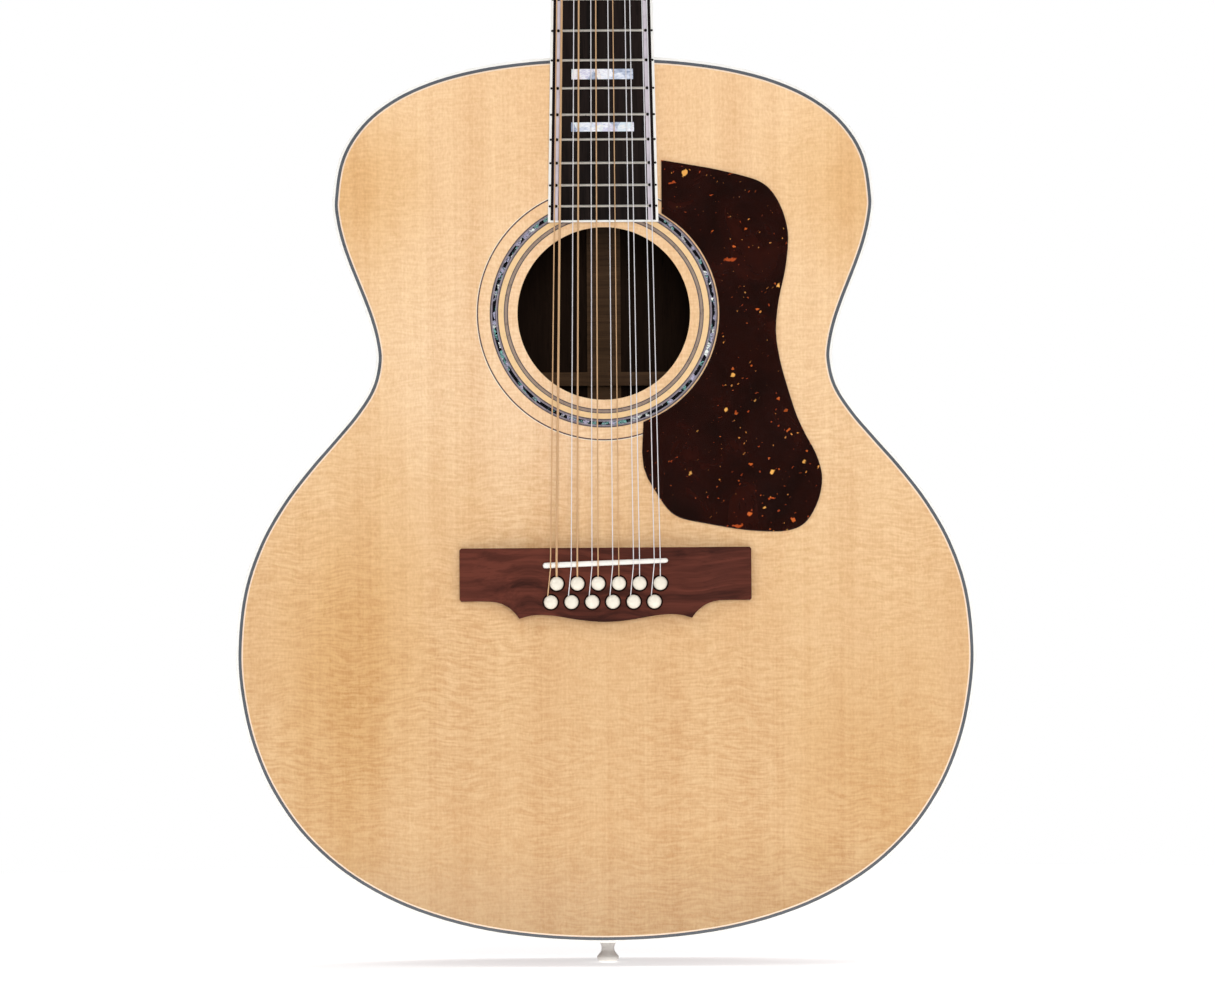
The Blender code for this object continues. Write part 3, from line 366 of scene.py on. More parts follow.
def ambering(look, height):
    """How pale the soundboard is at each place, near 1: broad patches with uneven borders."""
    warp = look.span(look.noise(look.scaled((22, 1, 9)), 3.0, 0.55), 0.25, 0.75, -0.28, 0.28)
    pale = look.span(height, BODY_LOW.z + 0.2, BODY_LOW.z + 0.31, 1.0, 1.1)
    for x, z, wide, tall, change in PATCHES:
        middle = (x * MM, 0, BODY_LOW.z + z * MM)
        inputs = {"Vector": look.place, "Location": middle, "Scale": (wide * MM, 1.0, tall * MM)}
        apart = look.node("ShaderNodeMapping", inputs, vector_type="TEXTURE").outputs["Vector"]
        reach = look.vector("LENGTH", look.vector("MULTIPLY", apart, (1, 0, 1)), output="Value")
        pale = look.add(pale, look.span(look.add(reach, warp), 1.0, 0.15, 0.0, change))
    return pale


def silk(look, height):
    """Silky ripples across the spruce, -0.5 to 0.5, deeper in the lower bout and in patches."""
    drift = look.noise(look.scaled((24, 3, 18)), 2.0, 0.5)
    bent = look.vector("ADD", look.place, look.combine(z=look.times(drift, 0.014)))
    ripples = look.noise(look.scaled((115, 60, 760), bent, (0, SILK_LEAN, 0)), 2.0, 0.45)
    patches = look.noise(look.scaled((11, 3, 8)), 3.0, 0.5)
    low_bout = look.span(height, HOLE_Z + 0.02, HOLE_Z - 0.16, 0.5, 1.0)
    depth = look.times(look.span(patches, 0.35, 0.62, 0.45, 1.0), low_bout)
    return look.times(look.span(ripples, 0.36, 0.64, -0.5, 0.5), depth)


def spruce(name, light, dark):
    """Spruce: faint upright grain, matched at the seam, with fine silky ripples, uneven ambering and painted
    shade that darkens it toward the tail.
    """
    look = Look(name, light, 0.3, coat=0.5)
    place = look.parts()
    x, height = place["X"], place["Z"]
    halves = look.combine(look.calc("ABSOLUTE", x), place["Y"], height)
    grain = look.noise(look.scaled((820, 40, 2.5), halves), 3.0, 0.6)
    bands = look.noise(look.scaled((42, 3, 1.2), halves), 3.0, 0.55)
    mottle = look.noise(look.scaled((900, 60, 420)), 2.0, 0.5)
    tone = look.add(look.times(silk(look, height), 0.42), look.span(grain, 0.3, 0.7, 0.32, 0.48),
                    look.span(bands, 0.3, 0.7, -0.11, 0.11), look.span(mottle, 0.3, 0.7, -0.13, 0.13))
    sheen = look.times(look.span(x, -0.016, 0.0), look.calc("LESS_THAN", x, 0.0))
    tone = look.calc("SUBTRACT", tone, look.times(sheen, 0.1))
    wood = look.mix(tone, light, dark)
    pale = ambering(look, height)
    channels = [look.calc("POWER", pale, power) for power in AMBER_HUE]
    amber = look.node("ShaderNodeCombineColor", dict(enumerate(channels))).outputs["Color"]
    wood = look.mix(1.0, wood, amber, "MULTIPLY")
    # Painted shade: darker toward the tail and darker still in its lowest 65 mm, standing in for light that
    # falls from above
    shade = look.times(look.span(height, BODY_LOW.z, BODY_HIGH.z, 0.80, 1.04),
                       look.span(height, BODY_LOW.z, BODY_LOW.z + 0.065, 0.80, 1.0))
    look.set("Base Color", look.mix(1.0, wood, look.grey(shade), "MULTIPLY"))
    look.set("Specular IOR Level", 0.3)
    look.bump(grain, 0.00002, 0.35)
    look.worn(0.24, 0.36)
    return look.material


def brown_wood(name, light, dark, along, fineness=1.0, gloss=0.3, coat=0.5, figure=0.6, shine=0.5,
               wave=0.012, pore=0.75):
    """Rosewood or mahogany: dark wavy streaks along one axis, with fine pores between them.

    wave is how far the streaks wander, in metres, and pore how dark the pores are.
    """
    look = Look(name, light, gloss, coat=coat)

    def streaks(over, lengthwise):
        scale = [over * fineness] * 3
        scale["XYZ".index(along)] = lengthwise * fineness
        return scale

    shift = look.times(look.noise(look.scaled(14), 2.0), wave)
    bent = look.vector("ADD", look.place, look.combine(shift, shift, shift))
    lines = look.noise(look.scaled(streaks(300, 9), bent), 4.0, 0.62)
    sweep = look.noise(look.scaled(streaks(55, 5), bent), 3.0, 0.55)
    specks = look.noise(look.scaled(streaks(1500, 45)), 2.0, 0.6)
    tone = look.add(look.span(lines, 0.35, 0.65, -0.5, 0.5), look.span(sweep, 0.32, 0.68, 0.0, 1.0))
    wood = look.mix(look.times(tone, figure), light, dark)
    look.set("Base Color", look.mix(look.span(specks, 0.56, 0.68, 0.0, pore), wood, dark))
    look.set("Specular IOR Level", shine)
    look.bump(look.add(specks, lines), 0.00003, 0.3)
    look.worn(gloss - 0.06, gloss + 0.12)
    return look.material


def tortoiseshell(name):
    """Near-black glossy sheet with a red mottle and scattered amber flecks and streaks."""
    look = Look(name, srgb(38, 14, 10), 0.16, coat=0.2)
    place = look.parts()
    sheet = look.combine(place["X"], place["Z"])
    mottle = look.noise(look.scaled((38, 30, 1), sheet), 5.0, 0.6, 0.8)
    colour = look.ramp(mottle, (0.35, srgb(25, 10, 7)), (0.55, srgb(34, 12, 8)), (0.8, srgb(52, 17, 9)))
    crowd = look.span(look.noise(look.scaled((30, 24, 1), sheet), 2.0, 0.5), 0.4, 0.6, 0.25, 1.15)
    rough = look.noise(look.scaled((420, 420, 1), sheet), 3.0, 0.6)
    wobble = look.times(rough, 0.004)
    ragged = look.vector("ADD", sheet, look.combine(wobble, wobble))
    for scale, turn, reach, tint, rarity in FLECKS:
        inputs = {"Vector": look.scaled(scale, ragged, (0, 0, turn)), "Scale": 1.0, "Randomness": 1.0}
        cells = look.node("ShaderNodeTexVoronoi", inputs, voronoi_dimensions="2D").outputs
        lot = look.node("ShaderNodeSeparateColor", {"Color": cells["Color"]}).outputs
        size = look.times(look.span(lot[0], rarity, 1.0, 0.0, reach), crowd)
        inside = look.calc("SUBTRACT", size, cells["Distance"])
        glow = look.span(lot[1], 0.0, 1.0, 0.55, 1.0)
        colour = look.mix(look.times(look.span(inside, 0.0, 0.03), glow), colour, tint)
    look.set("Base Color", colour)
    look.set("Specular IOR Level", 0.2)
    look.worn(0.12, 0.22, 40.0)
    return look.material


def shell(name, cell, stops):
    """Mother of pearl or abalone: cells of shifting colour with fine growth lines."""
    look = Look(name, stops[0][1], 0.22, coat=0.4)
    wobble = look.noise(look.scaled(260), 2.0)
    cells = look.node("ShaderNodeTexVoronoi", {"Vector": look.scaled((cell, cell, cell * 0.8)), "Scale": 1.0})
    lot = look.node("ShaderNodeSeparateColor", {"Color": cells.outputs["Color"]}).outputs[0]
    growth = look.noise(look.scaled((500, 500, 2600), turn=(0, 0.5, 0)), 2.0)
    tone = look.add(look.times(lot, 0.72), look.times(wobble, 0.3), look.span(growth, 0.3, 0.7, -0.08, 0.08))
    look.set("Base Color", look.ramp(tone, *stops))
    look.bump(growth, 0.00001, 0.2)
    return look.material


def plain(name, colour, gloss, coat=0.0, variation=0.06, scale=90.0, metallic=0.0, grain=0.2, shine=0.5):
    """A material of one colour with slight variation, wear and a fine surface."""
    look = Look(name, colour, gloss, metallic, coat)
    cloud = look.noise(look.scaled(scale), 4.0, 0.6)
    shade = tuple(c * (1 - 2 * variation) for c in colour[:3]) + (1.0,)
    look.set("Base Color", look.mix(look.span(cloud, 0.3, 0.7), shade, colour))
    look.set("Specular IOR Level", shine)
    look.bump(look.noise(look.scaled(900), 2.0), 0.00002, grain)
    look.worn(gloss * 0.8, gloss * 1.3, scale)
    return look.material


def winding(name, colour, turns_per_metre):
    """A string wound with fine wire: ridges across its length, painted shade in the grooves between them, and
    dark stains.
    """
    look = Look(name, colour, 0.4, 0.55)
    ridge = look.calc("SINE", look.times(look.parts()["Z"], turns_per_metre * 2 * math.pi))
    groove_shade_and_stain = tuple(c * 0.55 for c in colour[:3]) + (1.0,)
    stain = look.noise(look.scaled((400, 400, 60)), 3.0)
    # Painted shade: the colour darkens in the grooves between the turns of wire; the same darker colour also
    # marks the stains
    shaded = look.mix(look.span(ridge, -1.0, 1.0, 0.6, 1.0), groove_shade_and_stain, colour)
    look.set("Base Color", look.mix(look.span(stain, 0.45, 0.7, 0.0, 0.25), shaded, groove_shade_and_stain))
    look.bump(ridge, 0.00005, 0.3)
    return look.material


# Woods: light and dark colour, axis of the grain, and what differs from brown_wood's usual values
WOODS = {
    "rosewood": (srgb(110, 58, 40), srgb(36, 17, 12), "Z", {"coat": 0.4, "shine": 0.3}),
    "rosewood_side": (srgb(106, 56, 39), srgb(34, 16, 11), "Z", {"fineness": 0.8, "coat": 0.4, "shine": 0.3}),
    "bridge_wood": (srgb(99, 51, 40), srgb(34, 16, 13), "X", {
        "fineness": 0.6, "gloss": 0.5, "coat": 0.0, "figure": 0.7, "shine": 0.1, "wave": 0.035, "pore": 0.3}),
    "overlay": (srgb(82, 43, 32), srgb(26, 13, 10), "Z", {"fineness": 1.1, "coat": 0.4, "shine": 0.3}),
    "mahogany": (srgb(146, 86, 52), srgb(88, 46, 28), "Z", {
        "fineness": 1.4, "gloss": 0.34, "coat": 0.4, "figure": 0.7, "shine": 0.4}),
    "brace_wood": (srgb(176, 134, 88), srgb(132, 92, 56), "X", {"fineness": 1.5, "gloss": 0.7, "coat": 0.0}),
    # inside: a much darker copy of the woods, painted shade for the body's interior seen through the
    # soundhole
    "inside": (srgb(42, 30, 23), srgb(26, 18, 14), "Z", {"gloss": 0.9, "coat": 0.0, "shine": 0.1}),
    "shaded_brace": (srgb(96, 72, 52), srgb(66, 48, 34), "X", {"fineness": 1.5, "gloss": 0.85, "coat": 0.0}),
    "ebony": (srgb(32, 24, 22), srgb(10, 7, 7), "Z", {
        "fineness": 1.6, "gloss": 0.5, "coat": 0.0, "figure": 0.8, "shine": 0.1}),
}

# Plainer things: colour, roughness, coat, variation, its repeats per metre, metallic, grain and shine,
# with plain's usual values for what is left out
PLAIN = {
    "white_plastic": ((0.90, 0.885, 0.85, 1), 0.24, 0.4, 0.03),
    "cream_line": (srgb(246, 220, 196), 0.3, 0.3, 0.05),
    "grey_line": (srgb(92, 96, 102), 0.3, 0.2, 0.08),
    "black_line": (srgb(24, 16, 17), 0.3, 0.1, 0.05, 90.0, 0.0, 0.2, 0.15),
    "lilac_stripe": (srgb(208, 198, 208), 0.3, 0.2, 0.08, 160.0),
    "ring_dark": (srgb(88, 76, 78), 0.3, 0.2, 0.1, 300.0),
    "ring_brown": (srgb(158, 138, 124), 0.3, 0.2, 0.12, 300.0),
    "ring_maple": (srgb(238, 202, 152), 0.3, 0.3, 0.04, 300.0),
    "ring_lilac": (srgb(152, 142, 152), 0.3, 0.2, 0.25, 400.0),
    "ring_mauve": (srgb(96, 70, 72), 0.3, 0.2, 0.1, 300.0),
    "ring_white": (srgb(250, 236, 214), 0.3, 0.2, 0.05, 300.0),
    "bone": (srgb(247, 243, 236), 0.32, 0.2, 0.05),
    "ivory": (srgb(240, 232, 216), 0.24, 0.4, 0.06, 200.0),
    "pin_shadow": (srgb(24, 12, 10), 0.8, 0.0, 0.1, 90.0, 0.0, 0.2, 0.05),
    "nickel": ((0.66, 0.645, 0.62, 1), 0.2, 0.0, 0.05, 120.0, 1.0, 0.1),
    "gear_brass": ((0.55, 0.40, 0.20, 1), 0.34, 0.0, 0.12, 300.0, 1.0),
    "steel": ((0.36, 0.36, 0.37, 1), 0.42, 0.0, 0.15, 200.0, 1.0),
    "fret_metal": ((0.66, 0.62, 0.56, 1), 0.34, 0.0, 0.06, 250.0, 0.6, 0.05),
    "plain_wire": ((0.86, 0.84, 0.87, 1), 0.34, 0.0, 0.04, 300.0, 0.3, 0.0),
}

# Shell: cells per metre, then the stops of the colour ramp that each cell takes its colour from
SHELLS = {
    "pearl": (150.0, (0.15, srgb(140, 152, 178)), (0.32, srgb(206, 214, 232)), (0.46, srgb(250, 251, 254)),
              (0.58, srgb(200, 198, 224)), (0.72, srgb(247, 242, 238)), (0.88, srgb(212, 226, 236))),
    "abalone": (380.0, (0.47, srgb(12, 11, 16)), (0.52, srgb(34, 38, 52)), (0.58, srgb(128, 188, 178)),
                (0.63, srgb(22, 32, 40)), (0.7, srgb(190, 186, 212)), (0.77, srgb(30, 34, 50)),
                (0.86, srgb(235, 238, 232))),
}


def make_looks():
    """Every material of the guitar, by name."""
    made = {
        "spruce_top": spruce("spruce_top", srgb(243, 205, 156), srgb(205, 152, 100)),
        "tortoiseshell": tortoiseshell("tortoiseshell"),
        "bronze_wire": winding("bronze_wire", (0.80, 0.50, 0.27, 1), 1700),
    }
    for name, (light, dark, along, more) in WOODS.items():
        made[name] = brown_wood(name, light, dark, along, **more)
    for name, values in PLAIN.items():
        made[name] = plain(name, *values)
    for name, (cell, *stops) in SHELLS.items():
        made[name] = shell(name, cell, stops)
    return made


LOOKS = make_looks()


# ---- Shapes ----------------------------------------------------------------------------------------------

def mesh_object(name, bm, material):
    """Turn a bmesh into an object of the scene."""
    mesh = bpy.data.meshes.new(name)
    bm.to_mesh(mesh)
    bm.free()
    mesh.materials.append(material)
    obj = bpy.data.objects.new(name, mesh)
    bpy.context.scene.collection.objects.link(obj)
    return obj


def piece(name, bm, look, slot, body=GUITAR, stands_for=(), smooth=40):
    """Turn a bmesh into a piece that rides on a body, in place of the named CAD nodes."""
    bmesh.ops.recalc_face_normals(bm, faces=bm.faces[:])
    obj = mesh_object(name, bm, LOOKS[look])
    obj.data.shade_smooth()
    obj.data.set_sharp_from_angle(angle=math.radians(smooth))
    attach(obj, body)
    if stands_for:
        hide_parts(*stands_for)
    return obj


def add_bands(bm, rings):
    """Add the faces between each ring of corners and the next."""
    for low, high in zip(rings, rings[1:]):
        for i in range(len(low)):
            j = (i + 1) % len(low)
            bm.faces.new((low[i], low[j], high[j], high[i]))


def add_loft(bm, sections, closed=False):
    """Skin a row of sections with equal point counts, and return the new corners."""
    rings = [[bm.verts.new(point) for point in section] for section in sections]
    if closed:
        add_bands(bm, rings + rings[:1])
    else:
        bm.faces.new(rings[0][::-1])
        bm.faces.new(rings[-1])
        add_bands(bm, rings)
    return {vert for row in rings for vert in row}


def loft(name, sections, look, slot, closed=False, **more):
    """One piece through the sections."""
    bm = bmesh.new()
    add_loft(bm, sections, closed)
    return piece(name, bm, look, slot, **more)


def eased(one, two, lean_one, lean_two, s):
    """The value at share s of a cubic curve from one to two, with its slope at either end."""
    return (one * (2 * s**3 - 3 * s**2 + 1) + lean_one * (s**3 - 2 * s**2 + s)
            + two * (3 * s**2 - 2 * s**3) + lean_two * (s**3 - s**2))


def rounded(loop, steps, corner=math.radians(38)):
    """A closed loop of (x, z) with curves between its corners; a sharp turn stays sharp."""
    count = len(loop)
    points = [Vector(point) for point in loop]
    curve = []
    for i in range(count):
        before, one, two, after = (points[(i + k) % count] for k in (-1, 0, 1, 2))
        if (one - before).angle(two - one) > corner:
            before = one - (two - one)
        if (two - one).angle(after - two) > corner:
            after = two + (two - one)
        reach = (two - one).length
        leans = (two - before).normalized() * reach, (after - one).normalized() * reach
        curve += [tuple(eased(one, two, *leans, step / steps)) for step in range(steps)]
    return curve


def offset(loop, distance):
    """A closed loop of (x, z), wound clockwise, moved outward by distance."""
    count = len(loop)
    moved = []
    for i in range(count):
        before, here, after = Vector(loop[i - 1]), Vector(loop[i]), Vector(loop[(i + 1) % count])
        one, two = (here - before).normalized(), (after - here).normalized()
        normal = Vector((-one.y - two.y, one.x + two.x)) / max(1 + one.dot(two), 0.4)
        moved.append(tuple(here + normal * distance))
    return moved


def clockwise(loop):
    """The loop of (x, z) with the winding that offset expects."""
    area = sum(a[0] * b[1] - b[0] * a[1] for a, b in zip(loop, loop[1:] + loop[:1]))
    return loop if area < 0 else loop[::-1]


def face_outline(node, back=False):
    """The longest edge loop, as (x, z), of the flat faces on a CAD node's front or back."""
    mesh = frame["nodes"][node].data
    low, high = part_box(node)
    plane = high.y if back else low.y
    points = [tuple(round(c, 6) for c in vert.co) for vert in mesh.vertices]
    links = {}
    for face in mesh.polygons:
        corners = [points[i] for i in face.vertices]
        if all(abs(corner[1] - plane) < 1e-5 for corner in corners):
            for one, two in zip(corners, corners[1:] + corners[:1]):
                links.setdefault(frozenset((one, two)), []).append((one, two))
    follow = {}
    for found in links.values():
        if len(found) == 1:
            follow[found[0][0]] = found[0][1]
    loops = []
    while follow:
        start = min(follow)
        loop = [start]
        while loop[-1] in follow:
            loop.append(follow.pop(loop[-1]))
        loops.append([(x, z) for x, y, z in loop[:-1]])
    return clockwise(max(loops, key=len))


def across(start, end, count):
    """Evenly spaced values from start to end."""
    return [start + (end - start) * i / count for i in range(count + 1)]


def circle(radius, count):
    """Points (u, v) round a circle."""
    angles = across(0, 2 * math.pi, count)[:-1]
    return [(radius * math.cos(angle), radius * math.sin(angle)) for angle in angles]


def in_metres(shape):
    """Rows of sizes in millimetres, in metres."""
    return [tuple(size * MM for size in row) for row in shape]


def turned(bm, matrix, shape, count=32):
    """Add a turned solid: shape is (distance along the local -Y axis, radius), matrix places it."""
    sections = []
    for along, radius in shape:
        sections.append([matrix @ Vector((u, -along, v)) for u, v in circle(radius, count)])
    add_loft(bm, sections)


def turned_along_x(bm, matrix, shape, count):
    """Add a turned solid: shape is (distance along the local X axis, radius), matrix places it."""
    sections = []
    for x, radius in shape:
        sections.append([matrix @ Vector((x, u, v)) for u, v in circle(radius, count)])
    add_loft(bm, sections)


def level(y):
    """The flat surface, as a function of (x, z), at one y."""
    return lambda x, z: y


def cut(bm, strips):
    """Cut every face along upright lines, each at one x."""
    for x in strips:
        everything = bm.verts[:] + bm.edges[:] + bm.faces[:]
        bmesh.ops.bisect_plane(bm, geom=everything, plane_co=(x, 0, 0), plane_no=(1, 0, 0))


def moulded(outline, front, back, rounding, strips=(), place=None):
    """A plate whose front edge is rounded; front and back give y at (x, z). Returns its bmesh."""
    bm = bmesh.new()
    loops = []
    for angle in across(0, math.pi / 2, 4):
        drop = rounding * (1 - math.sin(angle))
        edge = offset(outline, -rounding * (1 - math.cos(angle)))
        loops.append([bm.verts.new((x, drop, z)) for x, z in edge])
    loops.append([bm.verts.new((x, 0, z)) for x, z in offset(outline, -rounding - 0.1 * MM)])
    add_bands(bm, loops)
    bm.faces.new(loops[-1])
    cut(bm, strips)
    rim = [edge for edge in bm.edges if edge.is_boundary]
    wall = bmesh.ops.extrude_edge_only(bm, edges=rim)["geom"]
    foot = {vert for vert in wall if isinstance(vert, bmesh.types.BMVert)}
    for vert in bm.verts:
        x, z = vert.co.x, vert.co.z
        vert.co.y = back(x, z) if vert in foot else front(x, z) + vert.co.y
    if place:
        bmesh.ops.transform(bm, matrix=place, verts=bm.verts)
    return bm


def slab(outline, front, back, strips=()):
    """A board of even outline between y = front(x, z) and y = back(x, z). Returns its bmesh."""
    bm = bmesh.new()
    bm.faces.new([bm.verts.new((x, 0, z)) for x, z in outline])
    cut(bm, strips)
    sheet = bm.faces[:]
    rim = [edge for edge in bm.edges if edge.is_boundary]
    twin = {vert: bm.verts.new(vert.co) for vert in bm.verts[:]}
    for one, other in [edge.verts[:] for edge in rim]:
        bm.faces.new((one, other, twin[other], twin[one]))
    for face in sheet:
        bm.faces.new([twin[vert] for vert in reversed(face.verts)])
    for vert, copy in twin.items():
        x, z = vert.co.x, vert.co.z
        vert.co.y = front(x, z)
        copy.co.y = back(x, z)
    return bm


def block(bm, matrix, low, high, bevel):
    """Add a box between two corners, its edges rounded."""
    corners = ((low[0], low[1]), (high[0], low[1]), (high[0], high[1]), (low[0], high[1]))
    fresh = add_loft(bm, [[matrix @ Vector((x, y, z)) for x, y in corners] for z in (low[2], high[2])])
    edges = [edge for edge in bm.edges if edge.verts[0] in fresh]
    bmesh.ops.bevel(bm, geom=edges, offset=bevel, segments=3, affect="EDGES", profile=0.5)


def tube(bm, path, radius, count):
    """Add a round wire along a path of points."""
    sections = []
    side = None
    for i, point in enumerate(path):
        along = (path[min(i + 1, len(path) - 1)] - path[max(i - 1, 0)]).normalized()
        side = side or along.orthogonal()
        side = (side - along * side.dot(along)).normalized()
        other = along.cross(side)
        sections.append([point + side * u + other * v for u, v in circle(radius, count)])
    add_loft(bm, sections)


# ---- Body ------------------------------------------------------------------------------------------------

def body_outline():
    """The line inside the binding as smooth (x, z), read from the CAD binding's stations."""
    centre = Vector((0, HOLE_Z - 70 * MM))
    corners = [vert.co for vert in frame["nodes"]["binding_top"].data.vertices]
    places = {(round(corner.x, 6), round(corner.z, 6)) for corner in corners if corner.y < TOP_Y + MM}
    points = [Vector(place) for place in places]
    inner = []
    for point in points:
        others = [other for other in points if other is not point]
        twin = min(others, key=lambda other: (other - point).length)
        if (point - centre).length < (twin - centre).length:
            inner.append(point)
    inner.sort(key=lambda point: math.atan2(point.x - centre.x, point.y - centre.y))
    return clockwise(rounded(inner, OUTLINE_STEPS))


def back_surface():
    """The function y(x, z) of the back's outer face, fitted to the CAD binding's corners."""
    highest = {}
    for vert in frame["nodes"]["binding_back"].data.vertices:
        key = (round(vert.co.x, 5), round(vert.co.z, 5))
        highest[key] = max(highest.get(key, -1.0), vert.co.y)
    rows = [(1.0, z, x * x) for x, z in highest]
    base, slope, arch = np.linalg.lstsq(np.array(rows), np.array(list(highest.values())), rcond=None)[0]
    return lambda x, z: float(base + slope * z + arch * x * x)


OUTLINE = body_outline()
back_y = back_surface()
WIDTH_STRIPS = [BODY_HIGH.x * step / 12 for step in range(-11, 12)]    # where the arched back is cut to bend


def behind(distance):
    """The surface, as a function of (x, z), this far behind the back's outer face."""
    return lambda x, z: back_y(x, z) + distance


def strip_round_body(name, outer, inner, front, back, look, **more):
    """A strip that follows the body's outline between two offsets and two depths."""
    loops = [offset(OUTLINE, outer), offset(OUTLINE, inner)]
    sections = []
    for (x1, z1), (x0, z0) in zip(*loops):
        sections.append([(x0, front(x0, z0), z0), (x1, front(x1, z1), z1),
                         (x1, back(x1, z1), z1), (x0, back(x0, z0), z0)])
    loft(name, sections, look, "binding", closed=True, **more)


def soundboard():
    """Spruce top, from the soundhole out to the purfling lines."""
    sections = []
    for x, z in offset(OUTLINE, -DARK_PURFLING - CREAM_PURFLING):
        away = Vector((x, z - HOLE_Z)).normalized() * HOLE_RADIUS
        hole_x, hole_z = away.x, HOLE_Z + away.y
        front = [(hole_x, TOP_Y, hole_z), (x, TOP_Y, z)]
        back = [(x, TOP_Y + BOARD, z), (hole_x, TOP_Y + BOARD, hole_z)]
        sections.append(front + back)
    loft("top_board", sections, "spruce_top", "spruce_top", closed=True, stands_for=("soundboard",))


def edge_lines():
    """Dark and cream purfling inside the binding, and the binding itself, front and back."""
    top, under = level(TOP_Y), level(TOP_Y + BOARD)
    dark, cream = -DARK_PURFLING, -DARK_PURFLING - CREAM_PURFLING
    strip_round_body("purfling_dark", 0, dark, top, under, "grey_line")
    strip_round_body("purfling_cream", dark, cream, top, under, "cream_line")
    strip_round_body("binding_front", BINDING_WIDTH, 0, top, level(TOP_Y + BINDING_DEPTH), "white_plastic",
                     stands_for=("binding_top",))
    strip_round_body("binding_rear", BINDING_WIDTH, 0, behind(-BINDING_DEPTH), back_y, "white_plastic",
                     stands_for=("binding_back",))
    strip_round_body("purfling_rear", 0, dark, behind(-BOARD), behind(LIFT), "black_line")


def rosette():
    """The rings round the soundhole."""
    front, back = TOP_Y - LIFT, TOP_Y + RING_DEPTH
    for number, (inner, outer, look) in enumerate(ROSETTE):
        near, far = inner * MM, outer * MM
        corners = ((near, front), (far, front), (far, back), (near, back))
        sections = []
        for u, v in circle(1.0, 192):
            sections.append([(u * radius, y, HOLE_Z + v * radius) for radius, y in corners])
        stands_for = ("rosette",) if look == "abalone" else ()
        loft(f"rosette_ring_{number}", sections, look, "shell", closed=True, stands_for=stands_for, smooth=30)


def back_board():
    """Arched rosewood back with a light line down its centre."""
    edge = offset(OUTLINE, -0.1 * MM)
    inner = 0.2 * MM - BOARD
    bm = slab(edge, behind(inner), back_y, WIDTH_STRIPS)
    piece("back_board", bm, "rosewood", "rosewood", stands_for=("back",))
    bm = slab(edge, behind(-BOARD), behind(inner), WIDTH_STRIPS)
    # Painted shade: the inner face of the back takes the dark inside look
    piece("back_inside_painted_shade", bm, "inside", "rosewood")
    low, high = BODY_LOW.z + 2 * MM, BODY_HIGH.z - 2 * MM
    for layer, (width, name, look) in enumerate(BACK_LINE, start=1):
        half = width * MM
        strip = [(-half, low), (-half, high), (half, high), (half, low)]
        piece(f"back_line_{name}", slab(strip, behind(-MM), behind(layer * LIFT)), look, "binding")


def sides():
    """Both bent sides, each with its kerfed linings."""
    wall = offset(OUTLINE, BINDING_WIDTH)
    inside = offset(OUTLINE, BINDING_WIDTH - WALL)
    lined = offset(OUTLINE, BINDING_WIDTH - WALL - LINING_WIDTH)
    count = len(OUTLINE)
    first = max(range(count), key=lambda i: OUTLINE[i][1])
    order = [(first + i) % count for i in range(count)]
    under, rebate = TOP_Y + BOARD, TOP_Y + BINDING_DEPTH
    for hand, name in ((1, "treble"), (-1, "bass")):
        sections = []
        for i in order:
            if hand * OUTLINE[i][0] <= 0.5 * MM:
                continue
            front = [(inside[i], under + LINING_DEPTH), (lined[i], under + LINING_DEPTH / 3),
                     (lined[i], under), (OUTLINE[i], under), (OUTLINE[i], rebate), (wall[i], rebate)]
            rear = [(point, back_y(*point) - (y - TOP_Y)) for point, y in reversed(front)]
            sections.append([(point[0], y, point[1]) for point, y in front + rear])
        loft(f"side_wall_{name}", sections, "rosewood_side", "rosewood", stands_for=(f"side_{name}",))


def end_graft():
    """Tapered strip let into the sides at the tail."""
    ends = (TOP_Y + BINDING_DEPTH, back_y(0, BODY_LOW.z) - BINDING_DEPTH)
    low, high = BODY_LOW.z - LIFT, BODY_LOW.z + MM
    sections = []
    for y, half in zip(ends, END_GRAFT):
        sections.append([(-half, y, low), (half, y, low), (half, y, high), (-half, y, high)])
    loft("end_graft", sections, "overlay", "binding")


def pickguard():
    """Tortoiseshell pickguard with a polished rounded edge."""
    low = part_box("pickguard")[0]
    outline = rounded(face_outline("pickguard"), 3)
    bm = moulded(outline, level(low.y), level(TOP_Y), rounding=0.45 * MM)
    piece("guard", bm, "tortoiseshell", "tortoiseshell", stands_for=("pickguard",), smooth=50)


# ---- Bridge, saddle and pins -----------------------------------------------------------------------------

def bridge_height(x):
    """Height of the bridge: full in the middle and thinner toward the tips of its wings."""
    start, end = WING_SLOPE
    share = min(max((abs(x) - start) / (end - start), 0.0), 1.0)
    return BRIDGE_HEIGHT - (BRIDGE_HEIGHT - WING_HEIGHT) * share * share * (3 - 2 * share)


def bridge():
    """Rosewood bridge with softened edges and a painted shadow disc round each pin."""
    outline = rounded(face_outline("bridge", back=True), 4)
    strips = [side * x for side in (-1, 1) for x in across(*WING_SLOPE, 12)]
    bm = moulded(outline, lambda x, z: TOP_Y - bridge_height(x), level(TOP_Y), 0.4 * MM, strips)
    piece("bridge_body", bm, "bridge_wood", "rosewood", stands_for=("bridge",), smooth=50)
    # Painted shadow: a flat near-black disc on the bridge round each pin, for the shade in the gap under the
    # pin head
    bm = bmesh.new()
    top = TOP_Y - BRIDGE_HEIGHT
    for number in range(2 * COURSES):
        x, z = pin_place(number)
        turned(bm, Matrix.Translation((x, top, z)), ((-MM, PIN_SHADOW_RADIUS), (LIFT, PIN_SHADOW_RADIUS)))
    piece("painted_pin_shadows", bm, "pin_shadow", "rosewood")


